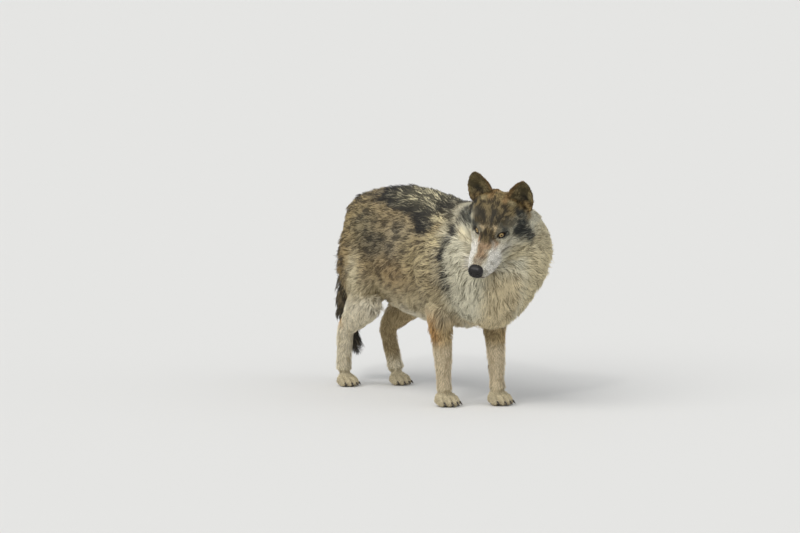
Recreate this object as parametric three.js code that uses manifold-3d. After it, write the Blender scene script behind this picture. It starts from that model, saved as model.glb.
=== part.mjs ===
// A life-size standing grey wolf in winter coat, as a museum model: the outer shape of the coat,
// parted by thin gaps into head, jaw, ears, eyes, nose, neck, trunk, tail, legs, paws and claws.
// Millimetres, +Z up. The body faces +X, its left side is +Y, and the soles stand at z = 0.
import * as THREE from "three";
import { mergeVertices } from "three/addons/utils/BufferGeometryUtils.js";
import Module from "manifold-3d";

// ---------------------------------------------------------------- driving dimensions
const GAP = 0.35; // clear space between neighbouring pieces
const BACK = 680; // top of the coat over the back
const KEEL = 242; // underside of the chest's coat
const STANCE = 80; // from the midline to a leg
const HEAD_AT = [500, -45, 580]; // midpoint between the eyes
const HEAD_YAW = -60; // degrees, the head looks to the animal's right
const HEAD_PITCH = 33; // degrees, the muzzle points down
const HEAD_ROLL = -10; // degrees, the left cheek hangs lower
const EYE_RADIUS = 12.5;
const EYE = [-3, 36, -2]; // centre of the left eyeball, in the head's own frame
const GAZE = [0.76, 0.6, 0.25]; // the way the left eye points, in the head's own frame
const EAR = { height: 132, halfWidth: 51, cup: 26, thickness: 9 }; // its foot is sunk in the skull
const TRUNK_CUTS = [-128, 128]; // where belly meets rump, and where it meets chest
const NECK_CUT = 285; // where the neck is parted from the chest at half height
const NECK_SLOPE = 22; // degrees, that cut leans back at its top
const TAIL_CUTS = [245, 430]; // heights where the tail's three lengths meet
const HIND_PAW_SIZE = 0.88; // of a fore paw
const SOLE_SINK = 4; // how far paws are modelled below the floor before they are cut flat

const SIDES = { left: 1, right: -1 };
const FRONT = [1, 0, 0]; // in a limb or the tail, "up" in a station means towards the front

const LOOKS = {
  saddle: { color: 0x3a3935, roughness: 0.95, metalness: 0 },
  flank: { color: 0x8d7f66, roughness: 0.95, metalness: 0 },
  cream: { color: 0xcbbf9f, roughness: 0.95, metalness: 0 },
  tawny: { color: 0xa98658, roughness: 0.95, metalness: 0 },
  mask: { color: 0x6f6654, roughness: 0.95, metalness: 0 },
  pale: { color: 0xd9d2bf, roughness: 0.95, metalness: 0 },
  claw: { color: 0x1d1a18, roughness: 0.4, metalness: 0 },
  nose: { color: 0x141213, roughness: 0.35, metalness: 0 },
  eye: { color: 0xc8a24a, roughness: 0.08, metalness: 0 },
};

// ---------------------------------------------------------------- solids
const wasm = await Module();
wasm.setup();

/** A closed three.js geometry as a solid for joining and cutting. */
function solidOf(geometry) {
  const bare = geometry.clone();
  bare.deleteAttribute("normal");
  bare.deleteAttribute("uv");
  const merged = mergeVertices(bare, 1e-3);
  return new wasm.Manifold(
    new wasm.Mesh({
      numProp: 3,
      vertProperties: new Float32Array(merged.attributes.position.array),
      triVerts: new Uint32Array(merged.index.array),
    }),
  );
}

/** The largest body of a solid, as a three.js geometry. */
function geometryOf(solid) {
  const whole = solid.decompose().reduce((a, b) => (b.volume() > a.volume() ? b : a));
  const mesh = whole.getMesh();
  const geometry = new THREE.BufferGeometry();
  geometry.setAttribute("position", new THREE.BufferAttribute(new Float32Array(mesh.vertProperties), 3));
  geometry.setIndex(new THREE.BufferAttribute(new Uint32Array(mesh.triVerts), 1));
  geometry.computeVertexNormals();
  return geometry;
}

/** Rings of points, from first to last, closed by a point at each end. */
function skinOver(rings, firstTip, lastTip) {
  const sides = rings[0].length;
  const points = [firstTip, ...rings.flat(), lastTip];
  const index = [];
  const at = (ring, side) => 1 + ring * sides + (side % sides);
  const last = points.length - 1;
  for (let side = 0; side < sides; side++) {
    index.push(0, at(0, side), at(0, side + 1));
    index.push(last, at(rings.length - 1, side + 1), at(rings.length - 1, side));
    for (let ring = 0; ring + 1 < rings.length; ring++) {
      index.push(at(ring, side), at(ring + 1, side), at(ring, side + 1));
      index.push(at(ring + 1, side), at(ring + 1, side + 1), at(ring, side + 1));
    }
  }
  const geometry = new THREE.BufferGeometry().setFromPoints(points);
  geometry.setIndex(index);
  return geometry;
}

const signedPower = (value, power) => Math.sign(value) * Math.abs(value) ** power;

/**
 * A smooth body through oval stations. A station is [x, y, z, wide, up, down, upPower, downPower]:
 * its centre, its half width, its reach above and below the centre, and how square its upper and
 * lower halves are (2 is an ellipse). "Up" leans to `top`. Round ends `dome` long close it, each with
 * a ring at every angle of `caps`. All of it is larger by `grow`.
 */
function loft(stations, { sides, steps, top = [0, 0, 1], dome = [20, 20], caps = [65, 35] }, grow = 0) {
  const curve = (pick) => new THREE.CatmullRomCurve3(stations.map((s) => new THREE.Vector3(...pick(s))));
  const path = curve((s) => [s[0], s[1], s[2]]);
  const reach = curve((s) => [s[3], s[4], s[5]]);
  const power = curve((s) => [s[6] ?? 2, s[7] ?? 2, 0]);
  const ringAt = (t, along, shrink) => {
    const forward = path.getTangent(t);
    const left = new THREE.Vector3(...top).cross(forward).normalize();
    const up = forward.clone().cross(left);
    const centre = path.getPoint(t).addScaledVector(forward, along);
    const size = reach.getPoint(t);
    const squareness = power.getPoint(t);
    return Array.from({ length: sides }, (_, side) => {
      const angle = ((side + 0.5) / sides) * 2 * Math.PI;
      const upper = Math.sin(angle) > 0;
      const bend = 2 / (upper ? squareness.x : squareness.y);
      const height = (upper ? size.y : size.z) + grow;
      return centre
        .clone()
        .addScaledVector(left, -(size.x + grow) * shrink * signedPower(Math.cos(angle), bend))
        .addScaledVector(up, height * shrink * signedPower(Math.sin(angle), bend));
    });
  };
  const angles = caps.map((angle) => THREE.MathUtils.degToRad(angle));
  const [first, last] = dome.map((length) => length + grow);
  const rings = [
    ...angles.map((angle) => ringAt(0, -first * Math.sin(angle), Math.cos(angle))),
    ...Array.from({ length: steps + 1 }, (_, i) => ringAt(i / steps, 0, 1)),
    ...angles.toReversed().map((angle) => ringAt(1, last * Math.sin(angle), Math.cos(angle))),
  ];
  const tip = (t, along) => path.getPoint(t).addScaledVector(path.getTangent(t), along);
  return skinOver(rings, tip(0, -first), tip(1, last));
}

/** An ellipsoid with the given centre and half sizes, its poles up and down. */
function ellipsoid(centre, halfSizes, around, down) {
  return new THREE.SphereGeometry(1, around, down)
    .rotateX(Math.PI / 2)
    .scale(...halfSizes)
    .translate(...centre);
}

/** A box between two corners. */
function block(low, high) {
  const size = high.map((value, k) => value - low[k]);
  return new THREE.BoxGeometry(...size).translate(...low.map((value, k) => value + size[k] / 2));
}

// ---------------------------------------------------------------- assemblies
/**
 * A group of pieces that share a frame. Each new piece gives way to all the pieces before it, which
 * are remembered in `grown`, larger by the gap.
 */
class Assembly {
  constructor(name) {
    this.group = new THREE.Group();
    this.group.name = name;
    this.grown = [];
  }

  /** Adds the solid that `make(grow)` returns. */
  add(name, look, make) {
    const solid = this.grown.reduce((rest, other) => rest.subtract(other), make(0));
    const mesh = new THREE.Mesh(geometryOf(solid), new THREE.MeshStandardMaterial(look));
    mesh.name = name;
    this.group.add(mesh);
    this.grown.push(make(GAP));
  }

  /** Adds another assembly, already placed. */
  addAssembly(other) {
    other.group.updateMatrix();
    this.group.add(other.group);
    for (const solid of other.grown) {
      this.grown.push(solidOf(geometryOf(solid).applyMatrix4(other.group.matrix)));
    }
  }
}

// ---------------------------------------------------------------- head
// The head's frame has its origin between the eyes, +X along the muzzle, +Y to its left, +Z up.
const mirrored = ([x, y, z], side) => [x, y * side, z];

/** Skull, cheeks and muzzle as one shape, with shallow eye sockets. */
function skull(grow) {
  const shape = loft(
    [
      [-150, 0, -14, 84, 101, 84, 2, 2],
      [-112, 0, -28, 112, 121, 98, 2, 2],
      [-72, 0, -40, 119, 115, 98, 2, 2],
      [-38, 0, -50, 102, 101, 86, 1.8, 2],
      [-8, 0, -58, 84, 86, 72, 1.7, 2.1],
      [18, 0, -64, 72, 67, 60, 1.6, 2.2],
      [44, 0, -68, 62, 61, 50, 1.6, 2.3],
      [76, 0, -68, 50, 49, 42, 1.8, 2.4],
      [106, 0, -68, 39, 38, 35, 2.1, 2.4],
      [124, 0, -69, 32, 31, 29, 2.2, 2.2],
    ],
    { sides: 16, steps: 9, dome: [34, 9], caps: [50] },
    grow,
  );
  let solid = solidOf(shape);
  for (const side of Object.values(SIDES)) {
    const gaze = mirrored(GAZE, side);
    const socketAt = mirrored(EYE, side).map((value, k) => value + 22 * gaze[k]);
    solid = solid.subtract(solidOf(ellipsoid(socketAt, [19, 19, 16], 8, 6)));
  }
  return solid;
}

/** The space of the lower jaw: below the line of the mouth, in front of its corners. */
function jawSpace(grow) {
  const mouth = new THREE.SplineCurve([
    new THREE.Vector2(44, -84),
    new THREE.Vector2(62, -91),
    new THREE.Vector2(88, -91),
    new THREE.Vector2(112, -88),
    new THREE.Vector2(150, -86),
  ]);
  const outline = mouth.getPoints(6).map((p) => new THREE.Vector2(p.x - grow, p.y + grow));
  outline.push(new THREE.Vector2(150, -170), new THREE.Vector2(26 - grow, -170));
  const breadth = 200;
  return new THREE.ExtrudeGeometry(new THREE.Shape(outline), { depth: breadth, bevelEnabled: false })
    .rotateX(Math.PI / 2)
    .translate(0, breadth / 2, 0);
}

/** The nose pad, in front of the muzzle. */
function nosePad(grow) {
  return loft(
    [
      [116, 0, -53, 20, 14, 15, 2.4, 2.2],
      [129, 0, -56, 25, 18, 19, 2.6, 2.2],
      [139, 0, -59, 22, 15, 17, 2.6, 2.2],
    ],
    { sides: 10, steps: 2, dome: [6, 5], caps: [40] },
    grow,
  );
}

/** An upright ear: a cupped leaf with a rounded tip, its hollow turned forwards and outwards. */
function ear(side, grow) {
  // The leaf is a box mapped point by point: x runs across it, y up it and z through it.
  const leaf = new THREE.BoxGeometry(2, 1, 2, 6, 4, 1);
  const points = leaf.attributes.position;
  for (let i = 0; i < points.count; i++) {
    const across = points.getX(i);
    const upward = 0.985 * Math.sin((points.getY(i) + 0.5) * (Math.PI / 2)) ** 1.15;
    const face = points.getZ(i);
    const taper = (1 - upward ** 2.3) ** 0.62 * (1 - 0.12 * (1 - upward) ** 2);
    const half = EAR.halfWidth * taper;
    const y = (half + grow) * across;
    const rim = 0.35 + 0.65 * (1 - across * across) ** 0.5 * (1 - 0.5 * upward);
    const wall = (EAR.thickness + 4 * grow) * rim * (0.5 - 0.2 * upward);
    const hollow = EAR.cup * (1 - (y / half) ** 2) * (1 - upward) ** 0.6;
    points.setXYZ(i, face * wall - hollow, y, (EAR.height + 2 * grow) * upward - grow);
  }
  const turn = (axis, degrees) =>
    new THREE.Matrix4().makeRotationAxis(new THREE.Vector3(...axis), THREE.MathUtils.degToRad(degrees));
  const left = side > 0;
  const place = new THREE.Matrix4()
    .makeTranslation(-90, left ? 60 : -48, 24)
    .multiply(turn([1, 0, 0], -14 * side))
    .multiply(turn([0, 0, 1], left ? 14 : 6))
    .multiply(turn([0, 1, 0], -4));
  return leaf.applyMatrix4(place);
}

function makeHead() {
  const head = new Assembly("head_group");
  const eyeSize = (grow) => Array(3).fill(EYE_RADIUS + grow);
  for (const [word, side] of Object.entries(SIDES)) {
    const eyeball = (grow) => solidOf(ellipsoid(mirrored(EYE, side), eyeSize(grow), 8, 6));
    head.add(`eye_${word}`, LOOKS.eye, eyeball);
  }
  head.add("nose", LOOKS.nose, (grow) => solidOf(nosePad(grow)));
  for (const [word, side] of Object.entries(SIDES)) {
    head.add(`ear_${word}`, LOOKS.tawny, (grow) => solidOf(ear(side, grow)));
  }
  head.add("lower_jaw", LOOKS.pale, (grow) => skull(grow).intersect(solidOf(jawSpace(grow))));
  head.add("head", LOOKS.mask, skull);
  head.group.position.set(...HEAD_AT);
  head.group.rotation.set(...[HEAD_ROLL, HEAD_PITCH, HEAD_YAW].map(THREE.MathUtils.degToRad), "ZYX");
  return head;
}

// ---------------------------------------------------------------- paws and claws
// A paw's frame has its origin on the floor below the back of the palm, +X towards the toes.
const TOES = [
  { out: -30.2, reach: 22 },
  { out: -10.1, reach: 36 },
  { out: 10.1, reach: 36 },
  { out: 30.2, reach: 22 },
];

/** A palm and four toes, cut flat where they meet the floor. */
function paw(grow) {
  const sunk = ([x, y, z, ...reach]) => [x, y, z - SOLE_SINK, ...reach];
  const palm = [
    [-30, 0, 30, 25, 26, 30],
    [-4, 0, 32, 37, 26, 32],
  ];
  let solid = solidOf(loft(palm.map(sunk), { sides: 8, steps: 2, dome: [12, 14], caps: [45] }, grow));
  for (const { out, reach } of TOES) {
    const toe = [
      [reach - 38, out, 28, 9.8, 18, 18],
      [reach - 14, out, 25, 9.8, 17, 24],
      [reach, out, 16, 8.6, 12, 16],
    ];
    const digit = loft(toe.map(sunk), { sides: 5, steps: 2, dome: [6, 9], caps: [45] }, grow);
    solid = solid.add(solidOf(digit));
  }
  return solid.subtract(solidOf(block([-200, -200, -50], [200, 200, 0])));
}

/** One claw, curving down and forward from the tip of its toe. */
function claw({ out, reach }, grow) {
  return loft(
    [
      [reach, out, 18, 3.8, 4.4, 4.4],
      [reach + 13, out, 14, 3, 3.8, 3.8],
      [reach + 23, out, 7.5, 1.2, 1.4, 1.4],
    ],
    { sides: 4, steps: 2, dome: [1, 1.5], caps: [] },
    grow,
  );
}

/** A paw with its claws, placed at its foot. */
function makePaw(name, foot, out, size) {
  const assembly = new Assembly(`${name}_group`);
  assembly.add(`paw_${name}`, LOOKS.cream, paw);
  TOES.forEach((toe, i) => {
    assembly.add(`claw_${name}_${i + 1}`, LOOKS.claw, (grow) => solidOf(claw(toe, grow)));
  });
  assembly.group.position.set(foot, out, 0);
  assembly.group.scale.setScalar(size);
  return assembly;
}

// ---------------------------------------------------------------- legs
// Joints are [x, z]; a foot is the x of its paw's frame.
const FORE_LEGS = {
  right: { side: -1, elbow: [256, 338], wrist: [282, 132], fetlock: [290, 50], foot: 304 },
  left: { side: 1, elbow: [314, 338], wrist: [350, 134], fetlock: [356, 50], foot: 370 },
};
const HIND_LEGS = {
  right: { side: -1, knee: [-128, 338], hock: [-291, 188], fetlock: [-304, 52], foot: -284 },
  left: { side: 1, knee: [-128, 338], hock: [-296, 184], fetlock: [-240, 50], foot: -218 },
};
const CREST = [238, 560]; // top of the shoulder blades
const HIP = [-262, 540];

/**
 * One length of a leg between two joints. A station is [share of the way, distance from the
 * midline, half width, reach to the front, reach to the back].
 */
function limb(side, from, to, stations, shape, grow) {
  const placed = stations.map(([share, out, ...reach]) => {
    const [x, z] = [0, 1].map((k) => THREE.MathUtils.lerp(from[k], to[k], share));
    return [x, out * side, z, ...reach];
  });
  return solidOf(loft(placed, { top: FRONT, ...shape }, grow));
}

const HAUNCH_SHAPE = { sides: 10, steps: 5, dome: [32, 24], caps: [48] };
const SHAFT_SHAPE = { sides: 8, steps: 4, dome: [15, 10], caps: [45] };
const PASTERN_SHAPE = { sides: 8, steps: 2, dome: [8, 8], caps: [45] };

function shoulder({ side, elbow }, grow) {
  const stations = [
    [0, 62, 40, 56, 56],
    [0.4, 88, 62, 88, 84],
    [0.75, 94, 58, 76, 74],
    [1, STANCE + 6, 40, 50, 52],
  ];
  return limb(side, CREST, elbow, stations, HAUNCH_SHAPE, grow);
}

function forearm({ side, elbow, wrist }, grow) {
  const stations = [
    [0.08, STANCE + 6, 45, 60, 52],
    [0.35, STANCE + 3, 39, 54, 40],
    [0.7, STANCE, 32, 44, 30],
    [0.97, STANCE, 30, 36, 27],
  ];
  return limb(side, elbow, wrist, stations, SHAFT_SHAPE, grow);
}

function forePastern({ side, wrist, fetlock }, grow) {
  const stations = [
    [0.02, STANCE, 29, 34, 27],
    [0.5, STANCE, 25, 26, 26],
    [1, STANCE, 27, 26, 26],
  ];
  return limb(side, wrist, fetlock, stations, PASTERN_SHAPE, grow);
}

function thigh({ side, knee }, grow) {
  const stations = [
    [0, 46, 40, 62, 60],
    [0.35, 70, 54, 94, 126],
    [0.7, 84, 52, 90, 140],
    [0.98, 88, 43, 74, 98],
  ];
  return limb(side, HIP, knee, stations, HAUNCH_SHAPE, grow);
}

function shank({ side, knee, hock }, grow) {
  const stations = [
    [0.08, STANCE + 11, 44, 94, 86],
    [0.4, STANCE + 7, 38, 80, 66],
    [0.75, STANCE + 3, 31, 50, 40],
    [1, STANCE + 2, 27, 34, 34],
  ];
  return limb(side, knee, hock, stations, SHAFT_SHAPE, grow);
}

function hindPastern({ side, hock, fetlock }, grow) {
  const stations = [
    [0, STANCE + 2, 27, 34, 36],
    [0.45, STANCE + 1, 25, 24, 36],
    [1, STANCE, 26, 25, 32],
  ];
  return limb(side, hock, fetlock, stations, PASTERN_SHAPE, grow);
}

function addLegs(body) {
  for (const [word, leg] of Object.entries(FORE_LEGS)) {
    body.addAssembly(makePaw(`fore_${word}`, leg.foot, STANCE * leg.side, 1));
    body.add(`pastern_fore_${word}`, LOOKS.cream, (grow) => forePastern(leg, grow));
    body.add(`forearm_${word}`, LOOKS.tawny, (grow) => forearm(leg, grow));
    body.add(`shoulder_${word}`, LOOKS.flank, (grow) => shoulder(leg, grow));
  }
  for (const [word, leg] of Object.entries(HIND_LEGS)) {
    body.addAssembly(makePaw(`hind_${word}`, leg.foot, STANCE * leg.side, HIND_PAW_SIZE));
    body.add(`pastern_hind_${word}`, LOOKS.cream, (grow) => hindPastern(leg, grow));
    body.add(`shank_${word}`, LOOKS.cream, (grow) => shank(leg, grow));
    body.add(`thigh_${word}`, LOOKS.flank, (grow) => thigh(leg, grow));
  }
}

// ---------------------------------------------------------------- tail
/** The hanging tail, from its root to its tip. */
function tail(grow) {
  const stations = [
    // x, y, z and radius
    [-336, 0, 572, 34],
    [-364, 6, 512, 38],
    [-384, 12, 430, 40],
    [-410, 17, 340, 44],
    [-436, 21, 260, 45],
    [-438, 24, 190, 38],
    [-410, 28, 122, 25],
    [-396, 30, 104, 16],
  ].map(([x, y, z, radius]) => [x, y, z, radius, radius, radius]);
  return loft(stations, { sides: 8, steps: 9, top: FRONT, dome: [20, 22], caps: [45] }, grow);
}

function addTail(body) {
  const [low, high] = TAIL_CUTS;
  const lengths = { tail_tip: [0, low - GAP], tail_middle: [low, high - GAP], tail_base: [high, 700] };
  for (const [name, [from, to]] of Object.entries(lengths)) {
    const slab = solidOf(block([-600, -300, from], [0, 300, to]));
    body.add(name, LOOKS.flank, (grow) => solidOf(tail(grow)).intersect(slab));
  }
}

// ---------------------------------------------------------------- neck and trunk
/** The nape, from the withers to the back of the skull. */
function nape(grow) {
  return loft(
    [
      [225, 0, 520, 90, 128, 110],
      [310, 6, 545, 104, 124, 120],
      [375, 26, 585, 100, 100, 110],
      [420, 52, 635, 78, 66, 80],
    ],
    { sides: 12, steps: 4, caps: [45] },
    grow,
  );
}

/** The mane, rising from the breast and turned with the head. */
function mane(grow) {
  return loft(
    [
      // the centre, then the reach to each side, forwards and backwards
      [392, 8, 320, 108, 88, 112],
      [414, 22, 400, 144, 96, 136],
      [428, 37, 490, 174, 97, 138],
      [436, 50, 570, 166, 82, 118],
      [440, 60, 640, 116, 58, 72],
    ],
    { sides: 14, steps: 5, top: [0.83, -0.55, 0], dome: [60, 26] },
    grow,
  );
}

/** The barrel of the body from rump to breast. */
function trunk(grow) {
  return loft(
    [
      // x, y, z of the widest level, half width, up, down
      [-336, 0, 500, 66, 104, 90],
      [-286, 0, 500, 92, 136, 126],
      [-225, 0, 496, 106, 151, 158],
      [-120, 0, 488, 120, 182, 208],
      [0, 0, 480, 130, BACK - 480, 226],
      [120, 0, 472, 134, BACK - 480, 231],
      [225, 0, 462, 132, 192, 462 - KEEL],
      [320, 0, 452, 116, 172, 452 - KEEL],
      [395, 4, 440, 88, 124, 168],
    ],
    { sides: 14, steps: 9, dome: [22, 52] },
    grow,
  );
}

/** Everything in front of a sloping plane at the shoulders, `offset` forward of it. */
function aheadOfShoulders(offset) {
  const slope = THREE.MathUtils.degToRad(NECK_SLOPE);
  return solidOf(block([offset, -400, -500], [500, 400, 500]).rotateY(-slope).translate(NECK_CUT, 0, 460));
}

function addNeckAndTrunk(body) {
  const torso = (grow) => [trunk, nape, mane].map((part) => solidOf(part(grow))).reduce((a, b) => a.add(b));
  const [hind, fore] = TRUNK_CUTS;
  body.add("neck", LOOKS.cream, (grow) => torso(grow).intersect(aheadOfShoulders(-grow)));
  const lengths = { chest: [fore, 900], belly: [hind, fore - GAP], rump: [-600, hind - GAP] };
  for (const [name, [from, to]] of Object.entries(lengths)) {
    const slab = solidOf(block([from, -400, 0], [to, 400, 900]));
    body.add(name, LOOKS.saddle, (grow) => torso(grow).intersect(slab));
  }
}

// ---------------------------------------------------------------- the model
const body = new Assembly("grey_wolf");
body.addAssembly(makeHead());
addLegs(body);
addTail(body);
addNeckAndTrunk(body);

// The origin is below the middle of the model, at the floor.
const model = body.group;
const box = new THREE.Box3().setFromObject(model, true);
const middle = box.getCenter(new THREE.Vector3());
model.position.set(-middle.x, -middle.y, -box.min.z);

export default model;
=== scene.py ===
"""Looks for a life-size grey wolf in winter coat: one skin, eyes, lids, nose, claws and a solid coat.

Shapes and markings are worked out in millimetres in the animal's own frame (x forwards, y to its
left, z up from the floor) and turned to metres in the model's frame as the last step.
"""

import math

import bmesh
import bpy
import numpy as np
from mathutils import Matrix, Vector


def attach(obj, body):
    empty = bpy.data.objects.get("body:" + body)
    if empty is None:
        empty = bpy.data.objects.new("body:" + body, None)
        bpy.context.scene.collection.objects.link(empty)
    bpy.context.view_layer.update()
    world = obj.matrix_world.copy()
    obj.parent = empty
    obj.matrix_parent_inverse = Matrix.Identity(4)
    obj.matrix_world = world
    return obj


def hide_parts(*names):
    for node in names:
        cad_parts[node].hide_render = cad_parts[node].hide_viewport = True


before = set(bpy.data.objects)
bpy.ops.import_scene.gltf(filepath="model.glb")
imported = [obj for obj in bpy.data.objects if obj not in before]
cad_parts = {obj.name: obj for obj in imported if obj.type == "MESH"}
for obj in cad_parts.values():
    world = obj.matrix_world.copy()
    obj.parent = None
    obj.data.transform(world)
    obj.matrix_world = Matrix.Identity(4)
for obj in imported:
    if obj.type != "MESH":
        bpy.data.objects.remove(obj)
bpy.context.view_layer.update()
chance = np.random.default_rng(7)

# ---------------------------------------------------------------- measures, in millimetres
ORIGIN = np.array([60.297, 24.227, 0.0])  # the model's origin in the animal's frame
HEAD_AT = np.array([500.0, -45.0, 580.0])  # midpoint between the eyes
HEAD_ANGLES = (-10, 33, -60)  # roll, pitch and yaw in degrees
EYE_RADIUS = 12.5
EYE = np.array([-3.0, 36.0, -2.0])  # centre of the left eyeball in the head's frame
GAZE = np.array([0.76, 0.60, 0.25])  # the way the left eye points
SLANT = math.radians(14)  # outer corner of the eye above the inner one
LID_HALF_LENGTH = 14.0
LID_UPPER = 6.6  # how far the lids open above the middle of the eye, and below it
LID_LOWER = 5.8
SKIN_OVER_EYE = 2.2
# the line of the lips, forwards and up, in the head's frame
MOUTH = ((30, -78), (44, -81), (62, -86), (88, -86), (112, -83), (128, -82), (160, -80))
# middle lines of the legs down to the soles, the right leg first, and of the tail down to its tip
FORE_LEGS = (
    ((256, -86, 338), (282, -80, 132), (290, -80, 50), (312, -80, 12)),
    ((314, 86, 338), (350, 80, 134), (356, 80, 50), (378, 80, 12)),
)
HIND_LEGS = (
    ((-128, -91, 338), (-291, -82, 188), (-304, -80, 52), (-276, -80, 12)),
    ((-128, 91, 338), (-296, 82, 184), (-240, 80, 50), (-210, 80, 12)),
)
TAIL = (
    (-336, 0, 572),
    (-364, 6, 512),
    (-384, 12, 430),
    (-410, 17, 340),
    (-436, 21, 260),
    (-438, 24, 190),
    (-410, 28, 122),
    (-396, 30, 90),
)
SIDES = (("left", 1), ("right", -1))
# voxels of the shells that the skin is joined from
BODY_GRID = 6.4
HEAD_GRID = 3.0
FOOT_GRID = 3.2
EAR_GRID = 2.0
LEAST_VOLUME = 1000  # a closed surface that holds less, in cubic millimetres, isn't kept
# by region: the coat's depth over the skin, the length of its hair, and tufts on a square centimetre
DEPTH = {"trunk": 14, "neck": 21, "legs": 4, "tail": 17, "cheeks": 15, "face": 2.2, "ear": 0.8}
LENGTH = {"trunk": 40, "neck": 56, "legs": 15, "tail": 46, "cheeks": 44, "face": 8.5, "nape": 26, "ear": 7}
TUFTS = {"trunk": 9.5, "neck": 12.5, "legs": 10, "tail": 11, "cheeks": 15, "face": 25, "ear": 22}
BLADE_LEVELS = (0.0, 0.5)  # shares of a tuft's length where it has a ring of three points
BLADE_ROOT = 1.2  # how deep a tuft's root stands in the skin
PATCH_HALF = 0.0015  # half the width of a tuft's patch in the coat's map, as a share of the map


# ---------------------------------------------------------------- arithmetic
def unit(vectors):
    """Vectors scaled to length one."""
    return vectors / np.maximum(np.linalg.norm(vectors, axis=-1, keepdims=True), 1e-9)


def smooth(low, high, value):
    """0 up to `low`, 1 from `high` on (or the other way round), an S-curve between."""
    t = np.clip((value - low) / (high - low), 0, 1)
    return t * t * (3 - 2 * t)


def blob(points, centre, radii):
    """exp(-d^2), d the distance from the centre measured in the three radii."""
    return np.exp(-(((points - np.array(centre)) / np.array(radii)) ** 2).sum(1))


def rotation(roll, pitch, yaw):
    """Roll about x, then pitch about y, then yaw about z, in degrees."""
    a, b, c = (math.radians(x) for x in (roll, pitch, yaw))
    x = [[1, 0, 0], [0, math.cos(a), -math.sin(a)], [0, math.sin(a), math.cos(a)]]
    y = [[math.cos(b), 0, math.sin(b)], [0, 1, 0], [-math.sin(b), 0, math.cos(b)]]
    z = [[math.cos(c), -math.sin(c), 0], [math.sin(c), math.cos(c), 0], [0, 0, 1]]
    return np.array(z) @ np.array(y) @ np.array(x)


HEAD_TURN = rotation(*HEAD_ANGLES)


def to_head(points):
    """The animal's frame to the head's: less the head's place, then turned back."""
    return (points - HEAD_AT) @ HEAD_TURN


def from_head(points):
    """The head's frame to the animal's: turned, then moved to the head's place."""
    return points @ HEAD_TURN.T + HEAD_AT


def lattice_value(cells, seed):
    """A random number in 0..1 for each cell of a lattice."""
    key = cells[:, 0] * 73856093 ^ cells[:, 1] * 19349663 ^ cells[:, 2] * 83492791 ^ seed * 97531
    key = ((key ^ (key >> 13)) * 1274126177) & 0x7FFFFFFF
    return ((key ^ (key >> 16)) & 0xFFFF) / 65535.0


def noise(points, size, seed):
    """Smooth values in 0..1: random numbers on a lattice of that size, blended between its corners."""
    place = points / size + 4096.0
    cell = np.floor(place).astype(np.int64)
    part = place - cell
    part = part * part * (3 - 2 * part)
    total = np.zeros(len(points))
    for corner in range(8):
        step = np.array([(corner >> k) & 1 for k in range(3)])
        total += np.where(step == 1, part, 1 - part).prod(1) * lattice_value(cell + step, seed)
    return total


def locks(points, size, seed):
    """The middle of the lock of hair each point is in, and a random number for each lock.

    Each cell of a lattice holds one middle, shaken about in it; a point belongs to the nearest.
    """
    home = np.floor(points / size + 4096.0).astype(np.int64)
    best = np.full(len(points), 1e9)
    middle, number = points.copy(), np.zeros(len(points))
    for corner in range(27):
        cell = home + [corner // 9 - 1, corner // 3 % 3 - 1, corner % 3 - 1]
        shaken = np.stack([lattice_value(cell, seed + k) for k in range(3)], 1)
        place = (cell - 4096.0 + 0.1 + 0.8 * shaken) * size
        far = np.linalg.norm(points - place, axis=1)
        nearer = far < best
        best = np.where(nearer, far, best)
        middle = np.where(nearer[:, None], place, middle)
        number = np.where(nearer, lattice_value(cell, seed + 7), number)
    return middle, number


def path_distance(points, path):
    """Distance to a polyline, and how far along it, from 0 to 1, the nearest place is."""
    path = np.array(path, float)
    lengths = np.linalg.norm(np.diff(path, axis=0), axis=1)
    starts = np.concatenate([[0], np.cumsum(lengths)])
    best = np.full(len(points), 1e9)
    along = np.zeros(len(points))
    for i, length in enumerate(lengths):
        way = (path[i + 1] - path[i]) / length
        t = np.clip((points - path[i]) @ way, 0, length)
        d = np.linalg.norm(points - path[i] - t[:, None] * way, axis=1)
        nearer = d < best
        best = np.where(nearer, d, best)
        along = np.where(nearer, (starts[i] + t) / starts[-1], along)
    return best, along


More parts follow.
